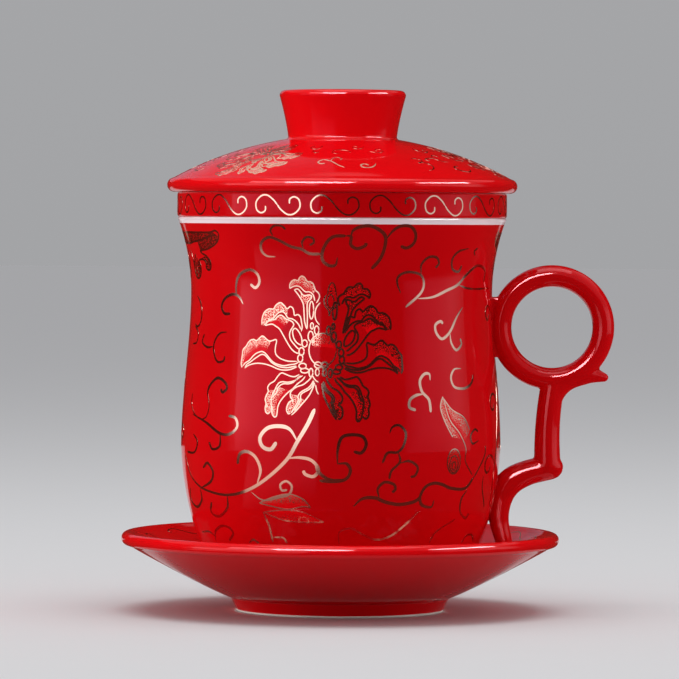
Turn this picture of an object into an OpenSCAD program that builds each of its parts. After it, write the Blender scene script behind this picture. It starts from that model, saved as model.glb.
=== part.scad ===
// Lidded tea mug with a lift-out infuser, standing on a saucer.
// Millimetres, +Z up. The origin is on the mug's axis, in the plane that the saucer stands on.
// The handle points along +X. Each group of modules is one loose piece: saucer, mug, infuser, lid.

/* [Saucer] */
// Outer radius of the saucer's rim
saucer_r = 59; // [54:1:68]
// Height of the saucer, table to top of rim
saucer_h = 21.2; // [19:0.2:26]
// Wall of the dish, measured upright
saucer_wall = 3.4; // [2.8:0.1:4.2]
// Thickness of the rolled rim
saucer_roll = 3.5; // [2.6:0.1:4.2]
// Outer radius of the foot ring where it stands
saucer_foot_r = 28; // [25:0.5:30]
// How much the foot ring widens upwards
saucer_foot_flare = 1.4; // [0.4:0.1:2.2]
// Height of the foot ring under the dish
saucer_foot_h = 3.6; // [2.4:0.1:5]
// Width of the foot ring where it stands
saucer_foot_w = 3; // [2:0.1:4.5]
// Depth of the well that the mug's foot stands in
well_depth = 0.8; // [0.4:0.1:1.4]
// Gap round the mug's foot in the well
well_gap = 2; // [1:0.1:3]

/* [Mug] */
// Height of the mug, foot to lip
mug_h = 99.2; // [90:1:115]
// Outer radius at the lip
mug_rim_r = 44.3; // [42.5:0.1:50]
// How far the waist draws in from the lip
waist_in = 3.8; // [2:0.1:6]
// How far the belly swells out from the waist
belly_out = 2.5; // [0.6:0.1:5]
// Outer radius of the mug's foot ring
mug_foot_r = 29; // [26:0.5:32]
// Height of the waist above the mug's foot
waist_z = 79; // [74:0.5:82]
// Height of the belly above the mug's foot
belly_z = 37.9; // [34:0.1:42]
// Wall of the mug
mug_wall = 2.9; // [2.4:0.1:3.4]
// Floor of the mug
mug_floor = 3.6; // [2.8:0.1:5]
// Height of the mug's foot ring
mug_foot_h = 2.6; // [1.6:0.1:3.4]
// Width of the mug's foot ring
mug_foot_w = 3.4; // [2.4:0.1:5]
// Height of the white lip that the red glaze stops short of
lip_h = 1.2; // [0.8:0.1:2.4]

/* [Handle] */
// Radius of the finger hole
loop_hole_r = 10.9; // [9:0.1:13]
// Thickness of the loop, seen from the side
loop_t = 5.9; // [4.8:0.1:7]
// Width of the loop across the handle
loop_w = 7.6; // [6:0.1:9]
// Height of the loop's centre above the mug's foot
loop_z = 69.9; // [67:0.1:73]
// How far the loop is bedded into the mug's wall
lute_bite = 0.9; // [0.4:0.1:1.6]
// Height of the pad that joins the loop to the wall
pad_h = 16.2; // [12:0.2:18]
// Width of that pad across the handle
pad_w = 4.8; // [3.6:0.2:6]
// Thickness of the stem below the loop
stem_t = 6.2; // [5.6:0.1:7.6]
// Width of the stem across the handle, as a share of its thickness
stem_width = 1.12; // [1:0.02:1.3]
// How far the middle of the stem stands in from the loop's centre
stem_in = 1.5; // [0:0.1:3]
// How far the knee stands in from the loop's centre
knee_in = 0.9; // [-0.5:0.1:3]
// Height of the knee above the mug's foot
knee_z = 32.7; // [31:0.1:36]
// Height of the shoulder where the arm meets the wall, above the mug's foot
arm_z = 28.2; // [26:0.1:30]
// How far the shoulder's middle stands out from the wall
shoulder_out = 1.9; // [1:0.1:3]
// How far the tail's tip stands out from the wall above it
tail_out = 2.2; // [1.2:0.1:4]
// Height of the tail's tip above the mug's foot
tail_z = 10.6; // [10.2:0.1:15]
// Thickness of the tail's tip
tail_t = 3.8; // [3:0.1:5]
// How far the spur's tip stands out from the loop's centre
spur_reach = 13.2; // [11:0.1:15]
// Length of the spur's root down the stem
spur_root = 7.6; // [5:0.1:9]
// Thickness of the spur at its tip
spur_t = 3.5; // [2.8:0.1:4.4]

/* [Infuser] */
// Height of the decorated collar that stands on the mug's lip
collar_h = 6.6; // [5.6:0.1:9]
// Wall of the collar
collar_wall = 3; // [2.4:0.1:3.6]
// How far the infuser's cup hangs below the mug's lip
cup_depth = 53; // [40:1:60]
// Outer radius of the cup's base
cup_base_r = 32; // [28:0.5:34]
// Wall of the cup
cup_wall = 2.6; // [2:0.1:3]
// Gap between the cup and the inside of the mug
cup_gap = 0.8; // [0.5:0.1:1.4]
// Thickness of the strainer base
base_t = 2.8; // [2.2:0.1:3.6]
// Diameter of each strainer hole
hole_d = 2.2; // [1.4:0.1:2.8]
// Distance between the rings of holes in the base
hole_pitch = 7; // [5:0.1:8]
// Rings of holes round the middle hole of the base
hole_rings = 3; // [1:1:3]
// Holes in each row round the cup's side
side_holes = 20; // [8:1:24]
// Rows of holes round the cup's side
side_rows = 2; // [1:1:4]

/* [Lid] */
// Outer radius of the lid
lid_r = 47.1; // [46:0.1:54]
// Thickness of the lid's edge
lid_edge = 3.5; // [2.8:0.1:4.5]
// Height from the lid's seat to the knob's base
lid_rise = 14.4; // [12:0.1:20]
// Wall of the lid's dome
lid_wall = 3.1; // [2.4:0.1:4]
// Depth of the locating flange below the lid's seat
flange_h = 4.6; // [3.4:0.1:4.8]
// Wall of the locating flange
flange_wall = 2.4; // [1.8:0.1:3]
// Gap between the flange and the collar
flange_gap = 0.7; // [0.4:0.1:1.2]
// Outer radius of the knob at its base
knob_base_r = 14.6; // [12:0.1:17]
// Outer radius of the knob at its top
knob_top_r = 17; // [14:0.1:20]
// Height of the knob
knob_h = 13.1; // [9:0.1:17]
// Wall of the knob
knob_wall = 2.8; // [2:0.1:3.6]

/* [Hidden] */
$fn = 96;
steps = 14;         // segments along each long curve of a profile
edge_r = 0.6;       // rounding of small ceramic edges
glaze_red = [0.78, 0.03, 0.04];
glaze_white = [0.93, 0.92, 0.89];
bare_clay = [0.86, 0.83, 0.78];

// Saucer heights. The underside rises from the foot to the rolled rim along a power curve.
under_power = 1.1;
roll_r = saucer_roll / 2;
under_r0 = saucer_foot_r + saucer_foot_flare;
under_r1 = saucer_r - roll_r;
under_z1 = saucer_h - saucer_roll;
well_r = mug_foot_r + well_gap;
function under_z(r) = saucer_foot_h
    + (under_z1 - saucer_foot_h) * pow(max(0, r - under_r0) / (under_r1 - under_r0), under_power);
floor_z = under_z(well_r) + saucer_wall - well_depth;   // the mug stands here

// Mug profile: a rounded lower part, a belly, a waist and a flaring mouth.
mouth_flare = 2;  // steepness of the mouth's flare at the lip
base_power = 1.6;   // fullness of the lower part
base_turn = 0.52;   // how quickly the lower part turns in to the foot
foot_spread = 1;    // the body is this much wider than its foot ring
mug_waist_r = mug_rim_r - waist_in;
mug_belly_r = mug_waist_r + belly_out;
function blend(t) = t * t * (3 - 2 * t);
function flare(t) = blend(t) + mouth_flare * (t * t * t - t * t);
function side_r(z, rim, waist, belly, foot, foot_z) =
    z > waist_z ? waist + (rim - waist) * flare((z - waist_z) / (mug_h - waist_z))
    : z > belly_z ? belly + (waist - belly) * blend((z - belly_z) / (waist_z - belly_z))
    : foot + (belly - foot)
        * pow(max(0, 1 - pow((belly_z - z) / (belly_z - foot_z), base_power)), base_turn);
function out_r(z) = side_r(z, mug_rim_r, mug_waist_r, mug_belly_r, mug_foot_r + foot_spread, mug_foot_h);
inner_z = mug_foot_h + mug_floor;
function in_r(z) = side_r(z, mug_rim_r - mug_wall, mug_waist_r - mug_wall, mug_belly_r - mug_wall,
    mug_foot_r - mug_wall, inner_z);
// Heights that sample the mug's side: evenly above the belly, by angle below it.
function side_heights(foot_z, top_z) = concat(
    [for (i = [0:steps]) belly_z - (belly_z - foot_z) * pow(cos(90 * i / steps), 2 / base_power)],
    [for (i = [1:steps]) belly_z + (waist_z - belly_z) * i / steps],
    [for (i = [1:steps]) waist_z + (top_z - waist_z) * i / steps]);
lip_z = mug_h - lip_h;

// Handle places, in the mug's own frame: [x, z, radius] at each corner of a limb.
cut_fn = 240;       // finer rounds for the bodies that a limb is cut to
loop_mid_r = loop_hole_r + loop_t / 2;
loop_out_r = loop_hole_r + loop_t;
loop_x = out_r(loop_z) - lute_bite + loop_out_r;
loop_foot_z = loop_z - loop_mid_r;
stem_x = loop_x - stem_in;
knee_x = loop_x - knee_in;
wall_x = out_r(arm_z);
stem_mid_z = (loop_foot_z + knee_z) / 2;
stem_corners = [
    [loop_x - stem_in * 0.27, loop_foot_z, stem_t * 0.5],
    [stem_x, stem_mid_z, stem_t * 0.48],
    [knee_x, knee_z, stem_t * 0.54]];
stem_cuts = [0, stem_t * 1.13, 0];  // length of each corner's rounding
arm_run = knee_x - wall_x;
arm_corners = [
    [knee_x + stem_t * 0.1, knee_z - stem_t * 0.065, stem_t * 0.53],
    [knee_x - arm_run * 0.367, knee_z - stem_t * 0.26, stem_t * 0.53],
    [wall_x + shoulder_out, arm_z, stem_t * 0.6],
    [wall_x, (arm_z + tail_z) / 2, stem_t * 0.4],
    [wall_x + tail_out, tail_z, tail_t / 2]];
arm_cuts = [0, stem_t * 0.32, stem_t * 0.77, stem_t * 0.64, 0];
spur_turn = stem_t / 2;             // how far past the stem's middle the spur turns outwards
spur_corners = [
    [stem_x, loop_foot_z - spur_root, stem_t * 0.44],
    [stem_x + spur_turn, loop_foot_z - loop_t * 0.09, stem_t * 0.52],
    [loop_x + spur_reach, loop_foot_z + loop_t * 0.07, spur_t / 2]];
spur_cuts = [0, stem_t * 0.9, 0];

// Infuser and lid heights above the table.
mug_top_z = floor_z + mug_h;
collar_r = mug_rim_r;
collar_in_r = collar_r - collar_wall;
collar_ledge = 1.5;                 // thickness of the collar's inner ledge
seat_z = mug_top_z + collar_h;      // the lid rests here
cup_bottom_z = mug_h - cup_depth;   // in the mug's frame
cup_waist_r = mug_waist_r - mug_wall - cup_gap;
cup_taper = 1.5;
function cup_r(z) = z > waist_z ? in_r(z) - cup_gap
    : cup_waist_r - (cup_waist_r - cup_base_r)
        * pow((waist_z - z) / (waist_z - cup_bottom_z), cup_taper);
cup_heights = concat(
    [for (i = [0:steps]) cup_bottom_z + base_t + (waist_z - cup_bottom_z - base_t) * i / steps],
    [for (i = [1:steps]) waist_z + (mug_h - waist_z) * i / steps]);
row_pitch = 6;                      // distance between the rows of side holes

flange_r = collar_in_r - flange_gap;
flange_in_r = flange_r - flange_wall;
// The dome is a cap of a sphere through the lid's edge and the knob's base.
edge_turn = 1.5;                    // rounding of the lid's edge
knob_flare = 1.35;                  // how late the knob widens towards its top
cap_r0 = lid_r - edge_turn * 0.75;
cap_zc = (pow(cap_r0, 2) - pow(knob_base_r, 2) + pow(lid_edge, 2) - pow(lid_rise, 2))
    / (2 * (lid_edge - lid_rise));
cap_r = sqrt(pow(knob_base_r, 2) + pow(lid_rise - cap_zc, 2));
function cap_z(r, drop) = cap_zc + sqrt(pow(cap_r - drop, 2) - r * r);

// Points of an arc about c, from angle a to angle b.
function arc(c, r, a, b, n) = [for (i = [0:n]) c + r * [cos(a + (b - a) * i / n), sin(a + (b - a) * i / n)]];

// A polyline whose corners are rounded off with parabolas; cuts gives each corner's reach.
function toward(a, b, d) = a + (b - a) * d / norm([b[0] - a[0], b[1] - a[1]]);
function rounded(p, cuts, n) = [
    p[0],
    for (i = [1:len(p) - 2])
        let (a = toward(p[i], p[i - 1], cuts[i]), b = toward(p[i], p[i + 1], cuts[i]))
            for (k = [0:n]) let (t = k / n) a * pow(1 - t, 2) + p[i] * 2 * t * (1 - t) + b * t * t,
    p[len(p) - 1]];

// The same path with a round end added past its last point.
function heading(a, b) = [b[0] - a[0], b[1] - a[1]] / norm([b[0] - a[0], b[1] - a[1]]);
function round_end(p) =
    let (n = len(p) - 1, r = p[n][2], d = heading(p[n - 1], p[n]))
        concat(p, [for (q = [20:20:80]) [p[n][0] + r * sin(q) * d[0], p[n][1] + r * sin(q) * d[1], r * cos(q)]]);
function reversed(p) = [for (i = [len(p) - 1:-1:0]) p[i]];

// A limb with an oval section, swept along [x, z, radius] points in the XZ plane.
limb_sides = 20;
module limb(path, width) {
    n = len(path);
    points = [for (i = [0:n - 1])
        let (d = heading(path[max(i - 1, 0)], path[min(i + 1, n - 1)]), r = path[i][2])
            for (k = [0:limb_sides - 1]) let (q = 360 * k / limb_sides)
                [path[i][0] + r * cos(q) * d[1], r * width * sin(q), path[i][1] - r * cos(q) * d[0]]];
    sides = [for (i = [0:n - 2]) for (k = [0:limb_sides - 1])
        let (a = i * limb_sides + k, b = i * limb_sides + (k + 1) % limb_sides)
            [a + limb_sides, b + limb_sides, b, a]];
    first = [for (k = [0:limb_sides - 1]) k];
    last = [for (k = [limb_sides - 1:-1:0]) (n - 1) * limb_sides + k];
    polyhedron(points, concat(sides, [first, last]));
}

// A ring with a flat top and bottom and small round outer edges.
module ring(r_in, r_out, z0, z1) {
    rotate_extrude() polygon(concat([[r_in, z0]],
        arc([r_out - edge_r, z0 + edge_r], edge_r, -90, 0, 4),
        arc([r_out - edge_r, z1 - edge_r], edge_r, 0, 90, 4), [[r_in, z1]]));
}

module saucer_dish() {
    roll = [under_r1, saucer_h - roll_r];
    slope = [for (i = [0:steps]) under_r0 + (under_r1 - under_r0) * i / steps];
    top_r0 = well_r + well_depth;
    top = [for (i = [steps:-1:0]) top_r0 + (under_r1 - roll_r - top_r0) * i / steps];
    color(glaze_red) rotate_extrude() polygon(concat(
        [[0, saucer_foot_h]],
        [for (r = slope) [r, under_z(r)]],
        arc(roll, roll_r, -60, 120, 10),
        [for (r = top) [r, under_z(r) + saucer_wall]],
        [[well_r, floor_z], [0, floor_z]]));
}

module saucer_foot_ring() {
    inner_r = saucer_foot_r - saucer_foot_w;
    color(glaze_red) rotate_extrude() polygon(concat(
        [[inner_r, edge_r], [inner_r + edge_r, 0]],
        arc([saucer_foot_r - edge_r, edge_r], edge_r, -90, 0, 4),
        [[under_r0, saucer_foot_h], [inner_r - saucer_foot_flare, saucer_foot_h]]));
}

// The mug's outside as one solid, which the handle is cut to.
module mug_outside() {
    rotate_extrude($fn = cut_fn) polygon(concat([[0, mug_foot_h]],
        [for (z = side_heights(mug_foot_h, lip_z)) [out_r(z), z]], [[0, lip_z]]));
}

module mug_body() {
    heights = side_heights(mug_foot_h, lip_z);
    inner = side_heights(inner_z, lip_z);
    color(glaze_red) translate([0, 0, floor_z]) rotate_extrude() polygon(concat(
        [[0, mug_foot_h]],
        [for (z = heights) [out_r(z), z]],
        [for (i = [len(inner) - 1:-1:0]) [in_r(inner[i]), inner[i]]],
        [[0, inner_z]]));
}

module mug_lip() {
    color(glaze_white) translate([0, 0, floor_z]) ring(in_r(lip_z), mug_rim_r, lip_z, mug_h);
}

module mug_foot_ring() {
    color(bare_clay) translate([0, 0, floor_z]) rotate_extrude() polygon(concat(
        [[mug_foot_r - mug_foot_w, 0]],
        arc([mug_foot_r - edge_r, edge_r], edge_r, -90, 0, 4),
        [[mug_foot_r, mug_foot_h], [mug_foot_r - mug_foot_w, mug_foot_h]]));
}

// The loop and its pad before they are bedded into the wall, in the mug's frame.
module loop_shape() {
    translate([loop_x, 0, loop_z]) rotate([90, 0, 0]) rotate_extrude($fn = cut_fn) polygon(
        [for (k = [0:limb_sides - 1]) let (q = 360 * k / limb_sides)
            [loop_mid_r + loop_t / 2 * cos(q), loop_w / 2 * sin(q)]]);
}

module stem_shape() {
    limb(round_end(rounded(stem_corners, stem_cuts, 6)), stem_width);
    limb(round_end(reversed(round_end(reversed(rounded(arm_corners, arm_cuts, 6))))), stem_width);
}

module handle_loop() {
    pad_x = loop_x - loop_mid_r;
    color(glaze_red) translate([0, 0, floor_z]) difference() {
        union() {
            loop_shape();
            translate([pad_x - loop_t, -pad_w / 2, loop_z - pad_h / 2]) cube([loop_t + 1, pad_w, pad_h]);
        }
        mug_outside();
    }
}

module handle_stem() {
    color(glaze_red) translate([0, 0, floor_z]) difference() {
        stem_shape();
        mug_outside();
        loop_shape();
    }
}

module handle_spur() {
    color(glaze_red) translate([0, 0, floor_z]) difference() {
        limb(round_end(rounded(spur_corners, spur_cuts, 6)), stem_width);
        loop_shape();
        stem_shape();
    }
}

module infuser_collar() {
    cup_top_r = in_r(mug_h) - cup_gap - cup_wall;
    slope_z = mug_top_z + collar_ledge;
    color(glaze_red) rotate_extrude() polygon(concat(
        [[cup_top_r, mug_top_z]],
        arc([collar_r - edge_r, mug_top_z + edge_r], edge_r, -90, 0, 4),
        arc([collar_r - edge_r, seat_z - edge_r], edge_r, 0, 90, 4),
        [[collar_in_r, seat_z], [collar_in_r, slope_z + edge_r], [collar_in_r - edge_r, slope_z],
         [cup_top_r, mug_top_z + edge_r]]));
}

module infuser_cup() {
    color(glaze_white) translate([0, 0, floor_z]) difference() {
        rotate_extrude() polygon(concat(
            [for (z = cup_heights) [cup_r(z), z]],
            [for (i = [len(cup_heights) - 1:-1:0]) [cup_r(cup_heights[i]) - cup_wall, cup_heights[i]]]));
        for (row = [1:side_rows]) for (k = [0:side_holes - 1])
            translate([0, 0, cup_bottom_z + base_t + row_pitch * (row - 0.3)])
                rotate([0, 90, 360 * (k + row / 2) / side_holes])
                    translate([0, 0, cup_base_r / 2]) cylinder(d = hole_d, h = cup_base_r);
    }
}

module strainer_base() {
    corner = base_t * 0.7;
    color(glaze_white) translate([0, 0, floor_z + cup_bottom_z]) difference() {
        rotate_extrude() polygon(concat([[0, 0]],
            arc([cup_r(cup_bottom_z + base_t) - corner, corner], corner, -90, 0, 6),
            [[cup_r(cup_bottom_z + base_t), base_t], [0, base_t]]));
        translate([0, 0, -1]) cylinder(d = hole_d, h = base_t + 2);
        for (k = [1:hole_rings]) for (i = [0:6 * k - 1]) rotate(60 * i / k)
            translate([k * hole_pitch, 0, -1]) cylinder(d = hole_d, h = base_t + 2);
    }
}

module lid_dome() {
    shell_r = flange_in_r - edge_r; // the hollow narrows a little above the flange
    outer = [for (i = [0:steps]) cap_r0 + (knob_base_r - cap_r0) * i / steps];
    inner = [for (i = [0:steps]) shell_r * i / steps];
    color(glaze_red) translate([0, 0, seat_z]) rotate_extrude() polygon(concat(
        [[flange_in_r, 0]],
        arc([lid_r - edge_turn, edge_turn], edge_turn, -90, 60, 9),
        [for (r = outer) [r, cap_z(r, 0)]],
        [[0, lid_rise]],
        [for (r = inner) [r, min(cap_z(r, lid_wall), lid_rise - lid_wall)]]));
}

module lid_flange() {
    color(glaze_white) translate([0, 0, seat_z]) ring(flange_in_r, flange_r, -flange_h, 0);
}

module lid_knob() {
    lip = knob_wall / 2;
    side = [for (i = [0:steps]) let (t = i / steps)
        [knob_base_r + (knob_top_r - knob_base_r) * pow(t, knob_flare), (knob_h - lip) * t]];
    hollow_r = knob_base_r - knob_wall;
    color(glaze_red) translate([0, 0, seat_z + lid_rise]) rotate_extrude() polygon(concat(
        side,
        arc([knob_top_r - lip, knob_h - lip], lip, 0, 180, 10),
        [[hollow_r, knob_wall / 2], [hollow_r - knob_wall / 2, 0]]));
}

saucer_dish();
saucer_foot_ring();
mug_body();
mug_lip();
mug_foot_ring();
handle_loop();
handle_stem();
handle_spur();
infuser_collar();
infuser_cup();
strainer_base();
lid_dome();
lid_flange();
lid_knob();
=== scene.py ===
"""Looks of the lidded tea mug: smooth glazed bodies, a blended handle and gilt line ornament.

The row frame is kept: the origin on the mug's axis at the table, +Z up, the handle along +X and
the mug's front towards -Y. Sizes are in millimetres, as in the part's source, and MM turns them
into metres when a mesh is made.
"""

import bpy
import numpy as np
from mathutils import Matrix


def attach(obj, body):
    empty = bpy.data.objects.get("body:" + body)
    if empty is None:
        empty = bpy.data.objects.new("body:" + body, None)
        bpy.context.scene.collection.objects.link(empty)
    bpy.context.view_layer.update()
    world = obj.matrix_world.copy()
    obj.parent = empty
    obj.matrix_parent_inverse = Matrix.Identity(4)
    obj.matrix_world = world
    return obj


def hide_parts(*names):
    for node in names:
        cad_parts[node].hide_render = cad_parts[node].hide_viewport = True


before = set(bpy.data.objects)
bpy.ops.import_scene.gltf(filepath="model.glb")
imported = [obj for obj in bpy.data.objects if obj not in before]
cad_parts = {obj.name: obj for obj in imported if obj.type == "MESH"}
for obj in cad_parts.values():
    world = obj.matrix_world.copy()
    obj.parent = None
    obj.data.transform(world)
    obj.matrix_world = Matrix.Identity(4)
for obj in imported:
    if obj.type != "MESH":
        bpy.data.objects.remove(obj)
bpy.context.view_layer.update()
MM = 0.001

# ---------------------------------------------------------------- sizes of the solids
SAUCER_R, SAUCER_H, SAUCER_WALL, ROLL_R = 59.0, 21.2, 3.4, 1.75
FOOT_R, FOOT_FLARE, FOOT_H, FOOT_W = 28.0, 1.4, 3.6, 3.0
UNDER_POWER, WELL_R, WELL_DEPTH = 1.1, 31.0, 0.8
UNDER_R0, UNDER_R1 = FOOT_R + FOOT_FLARE, SAUCER_R - ROLL_R
UNDER_Z1 = SAUCER_H - 2 * ROLL_R

MUG_H, RIM_R, WAIST_R, BELLY_R, MUG_FOOT_R = 99.2, 44.3, 40.5, 43.0, 29.0
WAIST_Z, BELLY_Z, MUG_WALL, MUG_FLOOR = 79.0, 37.9, 2.9, 3.6
MUG_FOOT_H, MUG_FOOT_W, LIP_H = 2.6, 3.4, 1.2
MOUTH_FLARE, BASE_POWER, BASE_TURN = 2.0, 1.6, 0.52

LOOP_HOLE_R, LOOP_T, LOOP_W, LOOP_Z = 10.9, 5.9, 7.6, 69.9
LUTE_BITE, PAD_H, PAD_W = 0.9, 16.2, 4.8
STEM_WIDTH = 1.12

COLLAR_H, COLLAR_WALL, COLLAR_LEDGE, CUP_TOP_R = 6.6, 3.0, 1.5, 38.0
LID_R, LID_EDGE, LID_RISE, LID_WALL = 47.1, 3.5, 14.4, 3.1
FLANGE_H, FLANGE_WALL, FLANGE_GAP = 4.6, 2.4, 0.7
KNOB_BASE_R, KNOB_TOP_R, KNOB_H, KNOB_WALL, KNOB_FLARE = 14.6, 17.0, 13.1, 2.8, 1.35

# ---------------------------------------------------------------- sizes of the glazed surfaces
EDGE = 0.6          # radius of a small rounded edge
SEAM = 0.1          # short straight step between two curves of an outline
REST_GAP = 0.02     # a piece starts this much above the piece that it rests on
CHAMFER = 0.3       # slope where glaze ends at bare clay or at an underside
FOOT_CHAMFER = 0.4  # the same inside the mug's foot ring
LIP_DROP = 0.55     # the white reaches this far below the solid lip
HOLLOW_ROUND, HOLLOW_IN = 0.9, 1.2      # fillet inside the saucer's foot ring, and how far in it starts
RIM_ARC = (-58, 125)                    # the saucer's rolled rim, in degrees from outwards
DOME_IN = 1.1       # the dome's sphere starts this far inside the lid's rim
LID_ROLL = LID_EDGE / 2 + 0.15          # radius of the lid's round edge
KNOB_FILLET = 0.9   # hollow round under the knob
PLATE_DEPTH, PLATE_WALL = 0.4, 1.4      # plates inside the mug's wall that the handle's fillets run into
PLATE_MARGIN = 2.0                      # how far the upper plate reaches past the pad
ARM_Z, KNEE_Z = 28.2, 32.7              # heights of the arm's end at the wall and of the knee
ARM_BEND = 0.367                        # the arm bends at this share of its run from the knee
VOXEL = 0.28        # grid of the handle's remesh


def under_z(r):
    """Height of the saucer's underside: FOOT_H + (UNDER_Z1 - FOOT_H) t^UNDER_POWER, t from foot to rim."""
    t = np.clip((r - UNDER_R0) / (UNDER_R1 - UNDER_R0), 0, None)
    return FOOT_H + (UNDER_Z1 - FOOT_H) * t**UNDER_POWER


FLOOR_Z = float(under_z(WELL_R)) + SAUCER_WALL - WELL_DEPTH
MUG_TOP = FLOOR_Z + MUG_H
SEAT_Z = MUG_TOP + COLLAR_H
DOME_TOP = SEAT_Z + LID_RISE


def blend(t):
    """Smooth step t^2 (3 - 2 t)."""
    return t * t * (3 - 2 * t)


def side_r(z, inset):
    """Radius of the mug's side at height z above its foot, inset inwards.

    Above the waist it flares by blend(t) + MOUTH_FLARE (t^3 - t^2); between waist and belly it
    follows blend(t); below the belly it is a superellipse down to the foot.
    """
    rim, waist, belly = RIM_R - inset, WAIST_R - inset, BELLY_R - inset
    foot = MUG_FOOT_R + 1 if inset == 0 else MUG_FOOT_R - inset
    foot_z = MUG_FOOT_H if inset == 0 else MUG_FOOT_H + MUG_FLOOR
    up = np.clip((z - WAIST_Z) / (MUG_H - WAIST_Z), 0, 1)
    mid = np.clip((z - BELLY_Z) / (WAIST_Z - BELLY_Z), 0, 1)
    low = np.clip((BELLY_Z - z) / (BELLY_Z - foot_z), 0, 1)
    mouth = waist + (rim - waist) * (blend(up) + MOUTH_FLARE * (up**3 - up**2))
    trunk = belly + (waist - belly) * blend(mid)
    base = foot + (belly - foot) * (1 - low**BASE_POWER) ** BASE_TURN
    return np.where(z > WAIST_Z, mouth, np.where(z > BELLY_Z, trunk, base))


def dome_z(r, drop=0.0):
    """Height of the lid's dome at radius r: a sphere through the lid's edge and the knob's base."""
    edge_r = LID_R - DOME_IN
    centre = (edge_r**2 - KNOB_BASE_R**2 + LID_EDGE**2 - LID_RISE**2) / (2 * (LID_EDGE - LID_RISE))
    radius = np.hypot(KNOB_BASE_R, LID_RISE - centre) - drop
    return SEAT_Z + centre + np.sqrt(np.maximum(radius**2 - r**2, 0))


# ---------------------------------------------------------------- mesh helpers
def make_mesh(name, points, faces, materials, body, nodes=(), indices=None, crease=60):
    """A piece from points in mm and a list of faces. It rides on body and stands for nodes."""
    mesh = bpy.data.meshes.new(name)
    mesh.from_pydata((np.asarray(points) * MM).tolist(), [], faces)
    for material in materials:
        mesh.materials.append(material)
    if indices is not None:
        mesh.polygons.foreach_set("material_index", np.asarray(indices, dtype=np.int32))
    mesh.polygons.foreach_set("use_smooth", np.ones(len(mesh.polygons), dtype=bool))
    mesh.set_sharp_from_angle(angle=np.radians(crease))
    mesh.update()
    piece = bpy.data.objects.new(name, mesh)
    bpy.context.scene.collection.objects.link(piece)
    if body:
        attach(piece, body)
    if nodes:
        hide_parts(*nodes)
    return piece


def grid_faces(m, n, rows_close=False, columns_close=False):
    """Quads of an m by n grid of points, numbered row by row. A direction that closes runs round."""
    i = np.arange(m if rows_close else m - 1)[:, None]
    k = np.arange(n if columns_close else n - 1)[None, :]
    j, across = (i + 1) % m, (k + 1) % n
    return np.stack([i * n + k, i * n + across, j * n + across, j * n + k], axis=2).reshape(-1, 4)


def plate_faces(m, n):
    """Faces of a closed plate: an m by n grid, a second one behind it, and walls between their edges."""
    front, behind = grid_faces(m, n), m * n
    rim = np.concatenate([np.arange(n), n * np.arange(1, m) + n - 1, m * n - 1 - np.arange(1, n),
                          n * np.arange(m - 2, 0, -1)])
    following = np.roll(rim, -1)
    walls = np.c_[rim, rim + behind, following + behind, following]
    return np.concatenate([front, front[:, ::-1] + behind, walls])


def arc(centre, radius, start, end, n=10):
    """Points centre + radius (cos a, sin a), a from start to end in degrees."""
    a = np.radians(np.linspace(start, end, n))
    return np.c_[centre[0] + radius * np.cos(a), centre[1] + radius * np.sin(a)]


def side(r, z):
    """Profile points (r, z) from two arrays."""
    return np.c_[np.broadcast_to(r, np.shape(z)), z]


def revolve(name, parts, materials, body, nodes, closed=False, turns=288):
    """Surface of revolution: each profile point (r, z) makes the circle (r sin a, -r cos a, z).

    parts is a list of (profile, material index), run counterclockwise with r to the right and z up.
    An open profile starts and ends on the axis, where a fan closes each pole.
    """
    profile = np.concatenate([part for part, _ in parts])
    band = np.concatenate([np.full(len(part), index) for part, index in parts])
    rings = profile if closed else profile[1:-1]
    bands = band if closed else band[1:-1]
    a = np.arange(turns) * 2 * np.pi / turns
    grid = np.stack([rings[:, :1] * np.sin(a), -rings[:, :1] * np.cos(a), rings[:, 1:] + 0 * a], axis=2)
    m = len(rings)
    faces = grid_faces(m, turns, closed, True).tolist()
    indices = np.repeat(bands if closed else bands[:-1], turns).tolist()
    points = grid.reshape(-1, 3)
    if not closed:
        first, last = len(points), len(points) + 1
        points = np.vstack([points, [[0, 0, profile[0, 1]], [0, 0, profile[-1, 1]]]])
        ring = np.arange(turns)
        nxt = (ring + 1) % turns
        top = (m - 1) * turns
        faces += np.c_[np.full(turns, first), nxt, ring].tolist()
        faces += np.c_[np.full(turns, last), top + ring, top + nxt].tolist()
        indices += [int(band[0])] * turns + [int(band[-1])] * turns
    return make_mesh(name, points, faces, materials, body, nodes, indices)


# ---------------------------------------------------------------- materials
RED = (0.62, 0.0018, 0.004)
GOLD = (0.46, 0.295, 0.24)
GLAZE_TINT, THICK_GLAZE_TINT = (0.5, 0.13, 0.24), (1, 0.38, 0.42)   # tints of what the glazes reflect
GILT_TINT = (1, 0.72, 0.58)
TONE_SCALE, TONE_DETAIL = 60, 3         # patches of tone per metre, and their detail
ROUGH_VARY = 0.2                        # the roughness changes by this share
NET_SCALE, NET_LINE = 2000, 0.075       # cells of the gilt net per metre, and its half line width in cells
RIPPLE_SCALE, RIPPLE_HEIGHT = 90, 0.00008   # soft waves of a glaze per metre, and their height in metres


def mixed(tree, factor, a, b):
    """The output of a node that mixes the colours a and b, b where factor is 1."""
    tone = tree.nodes.new("ShaderNodeMix")
    tone.data_type = "RGBA"
    tone.inputs["A"].default_value = (*a, 1)
    tone.inputs["B"].default_value = (*b, 1)
    tree.links.new(factor, tone.inputs["Factor"])
    return tone.outputs["Result"]


def object_place(tree):
    """The object coordinates in the nodes of a material that material() has made."""
    return next(node for node in tree.nodes if node.type == "TEX_COORD").outputs["Object"]


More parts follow.
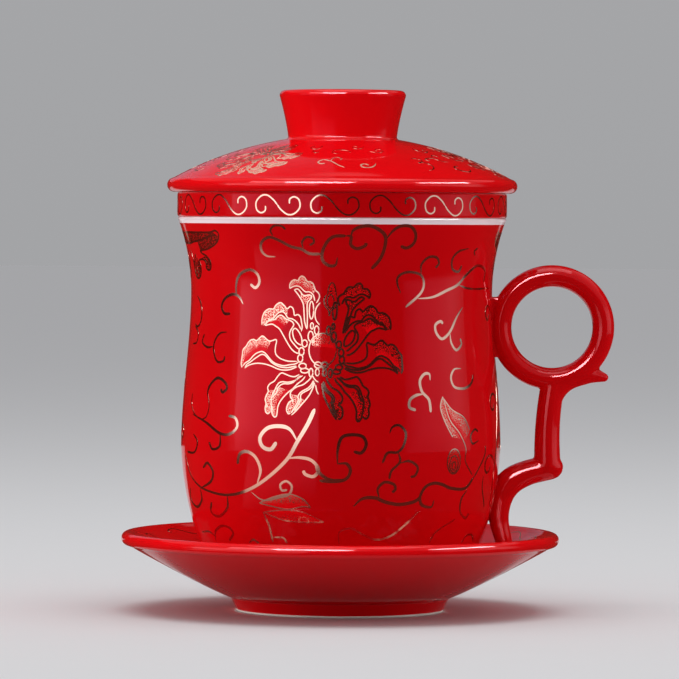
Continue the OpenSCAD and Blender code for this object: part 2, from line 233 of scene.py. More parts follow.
def material(name, base, roughness, metallic=0.0, specular=0.5, tint=(1, 1, 1), vary=0.06):
    """A Principled material whose tone and roughness change a little with one noise of object place.

    The tone changes by the share vary.
    """
    m = bpy.data.materials.new(name)
    m.use_nodes = True
    tree = m.node_tree
    shader = tree.nodes["Principled BSDF"]
    place = tree.nodes.new("ShaderNodeTexCoord")
    noise = tree.nodes.new("ShaderNodeTexNoise")
    noise.inputs["Scale"].default_value = TONE_SCALE
    noise.inputs["Detail"].default_value = TONE_DETAIL
    tree.links.new(place.outputs["Object"], noise.inputs["Vector"])
    darker, paler = [c * (1 - vary) for c in base], [min(c * (1 + vary), 1) for c in base]
    tree.links.new(mixed(tree, noise.outputs["Fac"], darker, paler), shader.inputs["Base Color"])
    rough = tree.nodes.new("ShaderNodeMapRange")
    rough.inputs["To Min"].default_value = roughness * (1 - ROUGH_VARY)
    rough.inputs["To Max"].default_value = roughness * (1 + ROUGH_VARY)
    tree.links.new(noise.outputs["Fac"], rough.inputs["Value"])
    tree.links.new(rough.outputs["Result"], shader.inputs["Roughness"])
    shader.inputs["Metallic"].default_value = metallic
    shader.inputs["Specular IOR Level"].default_value = specular
    shader.inputs["Specular Tint"].default_value = (*tint, 1)
    return m


def net_material(name, gold, red):
    """Gilt net on red: gilt where a point lies near the edge of its Voronoi cell, glaze elsewhere.

    The net's line width follows the mesh's net_density, from 0 for none to 1 for full.
    """
    m = material(name, gold, 0.1, 1.0, specular=0.33)
    tree = m.node_tree
    shader = tree.nodes["Principled BSDF"]
    cells = tree.nodes.new("ShaderNodeTexVoronoi")
    cells.feature = "DISTANCE_TO_EDGE"
    cells.inputs["Scale"].default_value = NET_SCALE
    tree.links.new(object_place(tree), cells.inputs["Vector"])
    density = tree.nodes.new("ShaderNodeAttribute")
    density.attribute_name = "net_density"
    width = tree.nodes.new("ShaderNodeMath")
    width.operation = "MULTIPLY"
    width.inputs[1].default_value = NET_LINE
    tree.links.new(density.outputs["Fac"], width.inputs[0])
    near = tree.nodes.new("ShaderNodeMath")
    near.operation = "LESS_THAN"
    tree.links.new(cells.outputs["Distance"], near.inputs[0])
    tree.links.new(width.outputs["Value"], near.inputs[1])
    on_line = near.outputs["Value"]
    tree.links.new(mixed(tree, on_line, red, gold), shader.inputs["Base Color"])
    tree.links.new(mixed(tree, on_line, GLAZE_TINT, GILT_TINT), shader.inputs["Specular Tint"])
    tree.links.new(on_line, shader.inputs["Metallic"])
    return m


def ripple(glaze):
    """Adds soft waves to a glaze, a bump from a noise of object place."""
    tree = glaze.node_tree
    waves = tree.nodes.new("ShaderNodeTexNoise")
    waves.inputs["Scale"].default_value = RIPPLE_SCALE
    waves.inputs["Detail"].default_value = 0
    bump = tree.nodes.new("ShaderNodeBump")
    bump.inputs["Strength"].default_value = 1
    bump.inputs["Distance"].default_value = RIPPLE_HEIGHT
    tree.links.new(object_place(tree), waves.inputs["Vector"])
    tree.links.new(waves.outputs["Fac"], bump.inputs["Height"])
    tree.links.new(bump.outputs["Normal"], tree.nodes["Principled BSDF"].inputs["Normal"])


red_glaze = material("red_glaze", RED, 0.07, specular=0.33, tint=GLAZE_TINT)
red_glaze_thick = material("red_glaze_thick", RED, 0.07, specular=0.5, tint=THICK_GLAZE_TINT)
white_glaze = material("white_glaze", (0.86, 0.84, 0.80), 0.1)
for glaze in (red_glaze, red_glaze_thick, white_glaze):
    ripple(glaze)
lip_glaze = material("lip_glaze", (0.94, 0.78, 0.81), 0.12)
bare_porcelain = material("bare_porcelain", (0.80, 0.76, 0.69), 0.75)
gilt = material("gilt", GOLD, 0.14, 1.0, tint=GILT_TINT)
gilt_net = net_material("gilt_net", GOLD, RED)

# ---------------------------------------------------------------- glazed bodies
def make_saucer():
    """Dish, rolled rim and foot ring as one outline; only the ring's standing face is bare."""
    inner = FOOT_R - FOOT_W
    hollow_r = inner - FOOT_FLARE - HOLLOW_IN
    cone = np.linspace(UNDER_R0, UNDER_R1, 40)
    top = np.linspace(UNDER_R1 - ROLL_R + SEAM, WELL_R + WELL_DEPTH + EDGE, 40)
    under = [[0, FOOT_H], [hollow_r, FOOT_H]]
    hollow = arc((hollow_r, FOOT_H - HOLLOW_ROUND), HOLLOW_ROUND, 90, 20, 6)
    stand = np.concatenate([[[inner, EDGE]], arc((inner + EDGE, EDGE), EDGE, 180, 270, 6)])
    outer = arc((FOOT_R - EDGE, EDGE), EDGE, -90, 0, 7)
    flare = [[FOOT_R + FOOT_FLARE * t, EDGE + (FOOT_H - EDGE) * t] for t in (0.25, 0.5, 0.75, 0.95)]
    rim = arc((UNDER_R1, SAUCER_H - ROLL_R), ROLL_R, *RIM_ARC, 24)
    dish = side(top, under_z(top) + SAUCER_WALL)
    well = arc((WELL_R + WELL_DEPTH, FLOOR_Z + WELL_DEPTH), WELL_DEPTH, 300, 270, 5)
    parts = [
        (np.array(under), 0), (hollow, 0), (stand, 1), (outer[:6], 1), (outer[6:], 0), (np.array(flare), 0),
        (side(cone, under_z(cone)), 0), (rim, 2), (dish, 0), (well, 0),
        (np.array([[WELL_R - 1, FLOOR_Z], [0, FLOOR_Z]]), 0),
    ]
    return revolve("saucer_glazed", parts, [red_glaze, bare_porcelain, red_glaze_thick], "saucer",
                   ["saucer_dish", "saucer_foot_ring"])


def make_mug():
    """Red outside up to the white lip, white inside, bare foot ring."""
    quarter, inner_quarter = np.linspace(0.05, np.pi / 2, 40), np.linspace(0.05, np.pi / 2 - 0.02, 30)
    up = np.concatenate([MUG_FOOT_H + (BELLY_Z - MUG_FOOT_H) * np.sin(quarter),
                         np.linspace(BELLY_Z + 1, MUG_H - LIP_H - LIP_DROP - SEAM, 70)])
    inner_z = MUG_FOOT_H + MUG_FLOOR
    down = np.concatenate([np.linspace(MUG_H - EDGE, BELLY_Z, 60),
                           inner_z + (BELLY_Z - inner_z) * np.cos(inner_quarter)])
    lip = np.array([MUG_H - LIP_H - LIP_DROP, MUG_H - LIP_H, MUG_H - EDGE - SEAM])
    foot_in = MUG_FOOT_R - MUG_FOOT_W
    lift = [0, FLOOR_Z]
    parts = [
        (np.array([[0, MUG_FOOT_H], [foot_in - FOOT_CHAMFER, MUG_FOOT_H]]) + lift, 1),
        (np.array([[foot_in, MUG_FOOT_H - FOOT_CHAMFER], [foot_in, EDGE]]) + lift, 2),
        (arc((foot_in + EDGE, EDGE), EDGE, 180, 270, 5) + lift, 2),
        (arc((MUG_FOOT_R - EDGE, EDGE), EDGE, -90, 0, 5) + lift, 2),
        (np.array([[MUG_FOOT_R, MUG_FOOT_H - CHAMFER], [MUG_FOOT_R + CHAMFER, MUG_FOOT_H]]) + lift, 0),
        (side(side_r(up, 0), up) + lift, 0),
        (side(side_r(lip, 0), lip) + lift, 3),
        (arc((RIM_R - EDGE - SEAM, MUG_H - EDGE), EDGE, 0, 90, 8) + lift, 3),
        (arc((RIM_R - MUG_WALL + EDGE, MUG_H - EDGE), EDGE, 90, 170, 8) + lift, 1),
        (side(side_r(down, MUG_WALL), down) + lift, 1),
        (np.array([[0, inner_z]]) + lift, 1),
    ]
    return revolve("mug_glazed", parts, [red_glaze, white_glaze, bare_porcelain, lip_glaze], "mug",
                   ["mug_body", "mug_lip", "mug_foot_ring"])


def make_collar():
    """The infuser's collar: red outside, white on its ledge and inside."""
    inner = RIM_R - COLLAR_WALL
    ledge = MUG_TOP + COLLAR_LEDGE
    parts = [
        (np.array([[CUP_TOP_R + SEAM, MUG_TOP + REST_GAP], [RIM_R - EDGE, MUG_TOP + REST_GAP]]), 1),
        (arc((RIM_R - EDGE, MUG_TOP + EDGE), EDGE, -90, 0, 7), 0),
        (arc((RIM_R - EDGE, SEAT_Z - EDGE), EDGE, 0, 90, 7), 0),
        (arc((inner + EDGE, SEAT_Z - EDGE), EDGE, 90, 180, 5), 1),
        (np.array([[inner, ledge + EDGE], [inner - EDGE, ledge], [CUP_TOP_R, ledge]]), 1),
    ]
    return revolve("collar_glazed", parts, [red_glaze, white_glaze], "infuser",
                   ["infuser_collar"], closed=True)


def make_lid():
    """Lid, flange and hollow knob as one outline: red above, white below."""
    flange_r = RIM_R - COLLAR_WALL - FLANGE_GAP
    flange_in = flange_r - FLANGE_WALL
    flange_z = SEAT_Z - FLANGE_H + EDGE
    dome = np.linspace(LID_R - 2, KNOB_BASE_R + 1, 60)
    ceiling = np.linspace(0, flange_in - EDGE, 40)
    knob_t = np.linspace(0.08, 1, 24)
    lip = KNOB_WALL / 2
    knob = np.c_[KNOB_BASE_R + (KNOB_TOP_R - KNOB_BASE_R) * knob_t**KNOB_FLARE,
                 DOME_TOP + (KNOB_H - lip) * knob_t]
    hollow_r = KNOB_BASE_R - KNOB_WALL
    hollow = [[hollow_r + EDGE, DOME_TOP + 3], [hollow_r - EDGE, DOME_TOP + 0.8], [0, DOME_TOP + SEAM]]
    under = np.minimum(dome_z(ceiling, LID_WALL), DOME_TOP - LID_WALL)
    parts = [
        (side(ceiling, under), 1),
        (arc((flange_in + EDGE, flange_z), EDGE, 180, 270, 5), 1),
        (arc((flange_r - EDGE, flange_z), EDGE, -90, 0, 5), 1),
        (np.array([[flange_r, SEAT_Z - CHAMFER], [flange_r + CHAMFER, SEAT_Z + REST_GAP]]), 1),
        (np.array([[RIM_R - 0.5, SEAT_Z + REST_GAP]]), 1),
        (arc((LID_R - LID_ROLL, SEAT_Z + LID_ROLL + REST_GAP), LID_ROLL, -90, 62, 20), 2),
        (side(dome, dome_z(dome)), 0),
        (arc((KNOB_BASE_R + KNOB_FILLET, DOME_TOP + 0.75), KNOB_FILLET, 262, 190, 6), 2),
        (knob, 0),
        (arc((KNOB_TOP_R - lip, DOME_TOP + KNOB_H - lip), lip, 8, 180, 12), 2),
        (np.array(hollow), 0),
    ]
    return revolve("lid_glazed", parts, [red_glaze, white_glaze, red_glaze_thick], "lid",
                   ["lid_dome", "lid_flange", "lid_knob"])


# ---------------------------------------------------------------- handle
def rounded(corners, cuts, n=8):
    """A path of (x, z, radius) corners, each rounded by the parabola between its two cut points."""
    p = np.array(corners, dtype=float)
    out = [p[:1]]
    t = np.linspace(0, 1, n)[:, None]
    for i in range(1, len(p) - 1):
        a = p[i] + (p[i - 1] - p[i]) * cuts[i - 1] / np.hypot(*(p[i - 1] - p[i])[:2])
        b = p[i] + (p[i + 1] - p[i]) * cuts[i - 1] / np.hypot(*(p[i + 1] - p[i])[:2])
        out.append(a * (1 - t) ** 2 + p[i] * 2 * t * (1 - t) + b * t * t)
    return np.concatenate(out + [p[-1:]])


def round_ends(path):
    """Adds half-round ends to (x, z, radius) points: r sin q beyond each end, with radius r cos q."""
    q = np.radians([25, 50, 70, 84])[:, None]
    ends = []
    for end, before in ((path[0], path[1]), (path[-1], path[-2])):
        ahead = (end - before)[:2] / np.hypot(*(end - before)[:2])
        ends.append(np.c_[end[:2] + ahead * end[2] * np.sin(q), end[2] * np.cos(q)])
    return np.concatenate([ends[0][::-1], path, ends[1]])


def tube(path, width, closed=False, sides=32):
    """Oval tube along (x, z, radius) points in the XZ plane.

    At angle q it lies r cos q across the path and width r sin q along Y.
    """
    x, z, r = path.T
    if closed:
        dx, dz = np.roll(x, -1) - np.roll(x, 1), np.roll(z, -1) - np.roll(z, 1)
    else:
        dx, dz = np.gradient(x), np.gradient(z)
    length = np.hypot(dx, dz)
    q = np.arange(sides) * 2 * np.pi / sides
    off = r[:, None] * np.cos(q)
    grid = np.stack([x[:, None] + off * (dz / length)[:, None], width * r[:, None] * np.sin(q),
                     z[:, None] - off * (dx / length)[:, None]], axis=2)
    m = len(path)
    faces = grid_faces(m, sides, closed, True).tolist()
    if not closed:
        faces += [list(range(sides))[::-1], list(range((m - 1) * sides, m * sides))]
    return grid.reshape(-1, 3), faces


def block(lo, hi):
    """Points and faces of a box."""
    corners = np.array([[x, y, z] for x in (lo[0], hi[0]) for y in (lo[1], hi[1]) for z in (lo[2], hi[2])])
    return corners, [[0, 1, 3, 2], [4, 6, 7, 5], [0, 4, 5, 1], [2, 3, 7, 6], [0, 2, 6, 4], [1, 5, 7, 3]]


def wall_plate(z0, z1, half):
    """A closed plate just inside the mug's outer face, for fillets to run into.

    Its two shells are (r cos a, r sin a, z), a within half of the handle's side, r the wall's radius
    less PLATE_DEPTH and less PLATE_DEPTH + PLATE_WALL.
    """
    z = np.linspace(z0, z1, 40)
    a = np.linspace(-half, half, 16)
    shells = []
    for inset in (PLATE_DEPTH + PLATE_WALL, PLATE_DEPTH):
        r = side_r(z, 0)[:, None] - inset
        shells.append(np.stack([r * np.cos(a), r * np.sin(a), z[:, None] + 0 * a], axis=2).reshape(-1, 3))
    return np.concatenate(shells), plate_faces(len(z), len(a))[:, ::-1].tolist()


def make_handle():
    """Finger ring, pad, stem, arm, tail and spur, joined by a fine voxel remesh and smoothed.

    Each tube follows (x, z, radius) corners, placed from the ring's centre, the knee and the wall.
    """
    mid, out = LOOP_HOLE_R + LOOP_T / 2, LOOP_HOLE_R + LOOP_T
    loop_x = float(side_r(np.array(LOOP_Z), 0)) - LUTE_BITE + out
    wall_x = float(side_r(np.array(ARM_Z), 0))
    foot_z, stem_x, knee_x = LOOP_Z - mid, loop_x - 1.5, loop_x - 0.9
    bend_x = knee_x - (knee_x - wall_x) * ARM_BEND
    pad_z0, pad_z1 = LOOP_Z - PAD_H / 2, LOOP_Z + PAD_H / 2
    a = np.linspace(0, 2 * np.pi, 120, endpoint=False)
    ring = np.c_[loop_x + mid * np.cos(a), LOOP_Z + mid * np.sin(a), np.full(len(a), LOOP_T / 2)]
    stem = rounded([(loop_x + 0.5, foot_z - 0.6, 3.3), (stem_x + 0.2, (foot_z + KNEE_Z) / 2, 3.25),
                    (knee_x - 0.1, KNEE_Z, 3.6)], [8.0])
    arm = rounded([(knee_x + 0.9, KNEE_Z - 0.5, 3.3), (bend_x, KNEE_Z - 1.8, 3.4),
                   (wall_x + 1.9, 28.0, 3.8), (wall_x + 0.1, 19.4, 2.8), (wall_x + 2.4, 10.6, 2.2)],
                  [2.0, 4.8, 4.0])
    spur = rounded([(stem_x + 1.1, foot_z - 7.6, 2.6), (stem_x + 3.1, foot_z - 0.5, 3.0),
                    (loop_x + 9.8, foot_z + 1.4, 2.7), (loop_x + 14.1, foot_z + 0.45, 1.25)], [5.6, 1.6])
    shapes = [
        tube(ring, LOOP_W / LOOP_T, closed=True),
        *[tube(round_ends(path), STEM_WIDTH) for path in (stem, arm, spur)],
        block((loop_x - out - EDGE, -PAD_W / 2, pad_z0), (loop_x - mid, PAD_W / 2, pad_z1)),
        wall_plate(pad_z0 - PLATE_MARGIN, pad_z1 + PLATE_MARGIN, 0.12),
        wall_plate(14, 36, 0.14),
    ]
    points, faces, start = [], [], 0
    for vertices, polygons in shapes:
        points.append(vertices)
        faces += [[v + start for v in polygon] for polygon in polygons]
        start += len(vertices)
    piece = make_mesh("handle_glazed", np.concatenate(points) + [0, 0, FLOOR_Z], faces,
                      [red_glaze_thick], "mug", ["handle_loop", "handle_stem", "handle_spur"])
    remesh = piece.modifiers.new("join", "REMESH")
    remesh.mode = "VOXEL"
    remesh.voxel_size = VOXEL * MM
    remesh.use_smooth_shade = True
    smooth = piece.modifiers.new("soften", "SMOOTH")
    smooth.factor = 0.5
    smooth.iterations = 14
    return piece


# ---------------------------------------------------------------- gilt ornament
# Points (u, v) are in mm on the unrolled wall: u along it from the front, v above the table.
# A vine is its width and the points that its line runs through.
FRONT_VINES = [
    (0.9, [(-18.2, 95.6), (-20.8, 95.8), (-22.3, 97.3), (-21.9, 99.4), (-19.6, 100.7), (-16.8, 99.9),
          (-13.6, 98.3), (-10.9, 97.7), (-8.6, 96.5), (-5.6, 96.4)]),
    (0.7, [(-18.4, 101), (-18.9, 102.5), (-17.7, 103.7), (-15.8, 103.7), (-14.7, 102.8)]),
    (0.7, [(-10.3, 97.9), (-10.5, 99.5), (-9.2, 100.8), (-7.6, 100.5), (-7.4, 99.4), (-8.5, 98.7)]),
    (1.0, [(-1.2, 95.6), (-1.7, 93.6), (-3.5, 93.4), (-5.1, 94.7), (-5.2, 96.8), (-4, 99.4), (-2.1, 101),
          (1, 101.2)]),
    (0.9, [(-31.5, 85), (-31.8, 87.2), (-31.1, 89.8), (-29.2, 91.4), (-26.3, 92.1), (-24.1, 90.9),
          (-23.6, 88.8), (-24.9, 87.4), (-26.6, 88.3)]),
    (0.9, [(-29.1, 83), (-30.5, 84.8), (-32.8, 85.6), (-36.1, 84.5), (-37.6, 82.4), (-36.4, 80.5),
          (-33.9, 80.4)]),
    (0.7, [(-34.8, 75.6), (-37.8, 75.2), (-39.9, 73.3), (-40.3, 70.7), (-38.3, 67.8), (-35.7, 67.9),
          (-35.1, 69.2)]),
    (0.7, [(-40.7, 71.6), (-43.8, 71.4), (-46.8, 72.7), (-45.9, 74.8)]),
    (0.6, [(-53.6, 76.8), (-50.5, 75.3), (-50.8, 72.6), (-54.4, 72)]),
    (0.9, [(-40.7, 57.2), (-41.5, 59.6), (-40.3, 61.7), (-37.4, 63.4), (-34.4, 62.4), (-33.4, 60.8),
          (-34.9, 59.7), (-35.8, 60.5)]),
    (1.0, [(1, 101.2), (2.3, 101), (2.3, 98.9), (3.9, 97.9), (6, 98.6), (6.3, 99.4)]),
    (1.1, [(2.3, 101), (2.8, 102.6), (4.7, 103.6), (7.3, 103.8), (10, 102.5), (11.4, 100.7), (11.1, 97.3),
          (9.9, 94.7), (8, 92.6)]),
    (1.0, [(11.6, 100.4), (13.1, 102.5), (15.1, 103.8), (17.9, 103.7), (19.6, 101.7), (19.4, 99.4),
          (17.5, 98.1), (15.7, 98.6)]),
    (0.8, [(16.4, 86.3), (15.5, 88.4), (15.4, 90.2), (16.8, 91.4), (19.2, 91.8), (22.4, 91), (23.5, 88.8),
          (22.5, 86.2), (17.9, 82.6)]),
    (0.8, [(22.5, 91.2), (22.4, 93.8), (24.5, 95.7), (27.1, 95.6), (28.1, 94.1), (27.1, 92.9)]),
    (0.9, [(21.6, 84.8), (26.5, 85.2), (31.5, 86.9), (35.9, 88.4), (39.7, 91.1), (45, 93.4), (50.6, 92),
          (50.2, 89.1)]),
    (0.6, [(36.3, 88.3), (42.1, 87.3), (55.4, 87.3)]),
    (0.8, [(39, 98), (34.9, 97.2), (32.8, 95.1), (33.4, 92.5), (35.9, 91.9), (37, 93.5)]),
    (0.9, [(38.1, 82.4), (35.4, 79.8), (32.6, 76.1), (29.6, 74.2), (27.6, 75.7), (27.3, 77.8),
          (29.1, 78.8), (30, 78.2)]),
    (0.8, [(32.5, 75.6), (32.9, 73), (34.7, 71.2), (36.9, 72.6), (36.6, 74.2)]),
    (0.8, [(36.2, 66.3), (33.4, 66.1), (32, 64), (33, 61.6), (36.1, 61), (38.9, 61.5), (40.8, 62.8),
          (41.5, 64.6)]),
    (0.9, [(24.8, 63.4), (24.6, 65), (23, 65), (21.6, 63.2), (22.1, 60.5), (23.9, 58.7), (24.4, 57.4),
          (24.6, 55)]),
    (0.9, [(22.4, 59.8), (20.3, 59.5), (18.5, 58.3), (18.3, 56.4), (20.1, 55.6)]),
    (0.6, [(42.7, 96.1), (41.9, 97.2), (43.4, 98.1)]),
    (0.8, [(12.7, 49.7), (13.5, 51.3), (15.4, 51.7), (17.1, 49.7), (16.5, 46.5), (14.8, 44.7),
          (12.1, 44.5), (10.8, 41.9)]),
    (0.8, [(15.1, 44.6), (15.5, 42.1), (13.3, 39.8), (12.8, 37.7)]),
    (0.8, [(15.5, 41.8), (18.2, 42.3), (20.6, 40.7), (20.1, 38.6), (18.7, 38.1)]),
    (1.0, [(-0.8, 41.5), (-0.8, 45.1), (0.2, 48.5), (2.8, 49.3), (5.6, 48.8), (6.5, 46.7), (5.3, 44.6),
          (3.3, 44.9)]),
    (1.0, [(-0.8, 41.7), (1.5, 41.7), (2.5, 39.9), (1.5, 37.8), (-1.3, 37), (-5.5, 37.2)]),
    (1.1, [(3.4, 30.4), (5.8, 32.5), (9.2, 32.7), (12, 31.6), (16, 30.9), (20.1, 31.5), (22.1, 32.6)]),
    (1.0, [(26.6, 31.8), (25.9, 30), (22.9, 30.6), (22, 32.7), (23.3, 35.3), (25.8, 36.3), (28.5, 36),
          (32.2, 34.8), (37.8, 34.6), (41, 37.3)]),
    (0.9, [(10.3, 32.7), (9.8, 35.1), (11.5, 36.8), (14, 36.3), (14.6, 35), (13.8, 34.1)]),
    (0.7, [(38.8, 34.2), (36.8, 31.7), (37.2, 28.5), (40.2, 26.5), (41.7, 27.7)]),
    (0.7, [(42.6, 47.1), (39.7, 46.4), (38.9, 48.5), (40.8, 50.1), (42.4, 49.5)]),
    (0.7, [(-0.3, 20.3), (-0.3, 23.5), (3, 24.6), (6.4, 22.9), (10.5, 21.6), (14.5, 22.6), (18.3, 25.4),
          (22.2, 29)]),
    (0.6, [(27.3, 20.3), (29.4, 23.5), (35.6, 26.4)]),
    (0.6, [(41.5, 19.7), (43.6, 21.7), (46.9, 21.6), (49.5, 19.8)]),
    (0.6, [(46.3, 37.6), (46.9, 33.9), (50.7, 28.9)]),
    (0.6, [(40.6, 36.8), (43.1, 39.4), (46, 43), (46.5, 45.6)]),
    (1.3, [(-6.8, 56), (-8.6, 51.9), (-11.2, 47.4), (-13.8, 42.9), (-18.4, 38.6), (-23.5, 35.3),
          (-28.9, 33.3), (-34.2, 32.6), (-40.2, 33.1), (-46.3, 34.4), (-51.8, 37.4), (-55, 42.6)]),
    (1.2, [(-11.2, 47.4), (-13.3, 50.5), (-16.1, 51.3), (-19.5, 50.7), (-21.6, 48.3), (-20.9, 45.9),
          (-18.5, 45.2), (-16.9, 47.1)]),
    (1.0, [(-22.8, 36), (-21.6, 39.6), (-23, 43), (-25.7, 44.4), (-28, 43.6), (-28.8, 41)]),
    (1.0, [(-13.8, 42.9), (-10.6, 43.2), (-7.5, 42.5), (-5.7, 40.1), (-7, 38.3), (-9.1, 38.8),
          (-9.7, 39.8)]),
    (1.0, [(-6.5, 41.4), (-5.5, 39.3), (-2.9, 37.5), (1, 37.3)]),
    (0.7, [(-24.9, 33.7), (-21.4, 31.7), (-16.5, 32.6), (-13.7, 33.5), (-12.9, 35.6), (-14.3, 36.9),
          (-16, 36), (-15.7, 34.5), (-14.2, 34.6)]),
    (0.7, [(-21.8, 28.5), (-20.4, 24.8), (-19.9, 20.6)]),
    (0.6, [(-19.6, 21.9), (-16.5, 21.8), (-15.5, 20.4)]),
    (0.8, [(-43.5, 19.6), (-42.3, 22.3), (-38.4, 24.1), (-35, 23.8), (-33.9, 22.2), (-36.5, 20.2)]),
    (0.6, [(-42.6, 21), (-46.1, 22.2), (-51.7, 21.8)]),
    (0.9, [(-33.5, 32.3), (-34.2, 29.1), (-38.4, 26.7), (-41.9, 27.7), (-40.8, 30.4)]),
    (0.9, [(-45.9, 33.7), (-40, 35.8), (-38.4, 38.5), (-40.6, 40.8), (-43, 39.4)]),
    (0.9, [(-45.9, 33.7), (-46.1, 30.7), (-50.4, 28.6), (-54.9, 30.3), (-53.6, 33.5)]),
    (0.9, [(-49.5, 53.5), (-41.6, 51.6), (-35.3, 48.9), (-31.5, 48.8), (-29, 50.7), (-29.6, 53),
          (-32.1, 53.6)]),
    (0.8, [(-35, 48.8), (-35.2, 45.5), (-38.1, 44.6), (-39.7, 46.4)]),
    (0.7, [(-48.2, 48.2), (-45.6, 46.2), (-47.4, 43.4), (-52.8, 43.2)]),
    (0.7, [(-28.3, 20), (-26.6, 21), (-24.7, 20.1)]),
]
# Vines from the front's left edge to the back are (u, v, length, heading, turn 1, turn 2, turn 3, width):
# each starts at (u, v) and runs at heading + turn1 t + turn2 t^2 + turn3 t^3 degrees, t from 0 to 1.
SIDE_VINES = [
    (-52.7, 84.8, 14.0, -16, -90, -120, 0, 0.7),
    (-76.0, 29.0, 50.0, 112, -150, 150, 0, 1.0), (-76.5, 30.4, 13, -42, 70, 260, 0, 0.8),
    (-77.5, 39.8, 16, 128, 30, 300, 0, 0.8), (-76.5, 46.7, 16, 32, -30, -300, 0, 0.8),
    (-74.0, 55.9, 15, 122, 40, 290, 0, 0.8), (-72.4, 63.2, 16, 30, -30, -310, 0, 0.8),
    (-73.4, 78.0, 15.0, 106, 20, 330, 0, 0.9), (-66.0, 24.5, 14.0, 170, -60, -320, 0, 0.7),
    (-63.5, 47.0, 13.0, 70, -60, -280, 0, 0.8),
]
# Leaves are lines, each a list of points.
LEAVES = [
    [(28.7, 59.1), (27.8, 56.2), (29.1, 52.5), (31.7, 48.3)],
    [(28.7, 59.1), (30.8, 53), (34.4, 49.2), (36.8, 45.2), (36.8, 41.8), (40.4, 37.9)],
    [(28.8, 58.7), (31.7, 55.6), (36.2, 53.4), (38.5, 50.1)],
    [(-22.7, 30.9), (-19.1, 30.2), (-14.5, 29.5), (-10, 30.3), (-8, 30)],
    [(-22.7, 30.9), (-18.3, 32.6), (-13.7, 33.5), (-9.9, 32.2), (-8, 30)],
    [(-21.8, 28.5), (-17.1, 26.8), (-11.4, 26.1), (-4.4, 26.2)],
    [(-21.8, 28.5), (-15.7, 29.2), (-10.1, 28.8), (-4.4, 26.2)],
    [(-50.6, 59), (-50.7, 56.1), (-48.1, 53.5), (-43.7, 52.1)],
    [(-41.5, 59.3), (-40.4, 55.9), (-41.3, 53.2), (-43.7, 52.1)],
]
# A leaf net is (line, other line, how much of the other). The rose is ellipses, like the beads below.
LEAF_NETS = [(0, 1, 0.5), (2, 1, 0.55), (4, 3, 1.0), (5, 6, 1.0)]
ROSE = [(32.4, 41.9, 2.4, 3.3), (32.4, 41.2, 1.5, 2.2), (32.4, 40.7, 0.7, 1.1)]
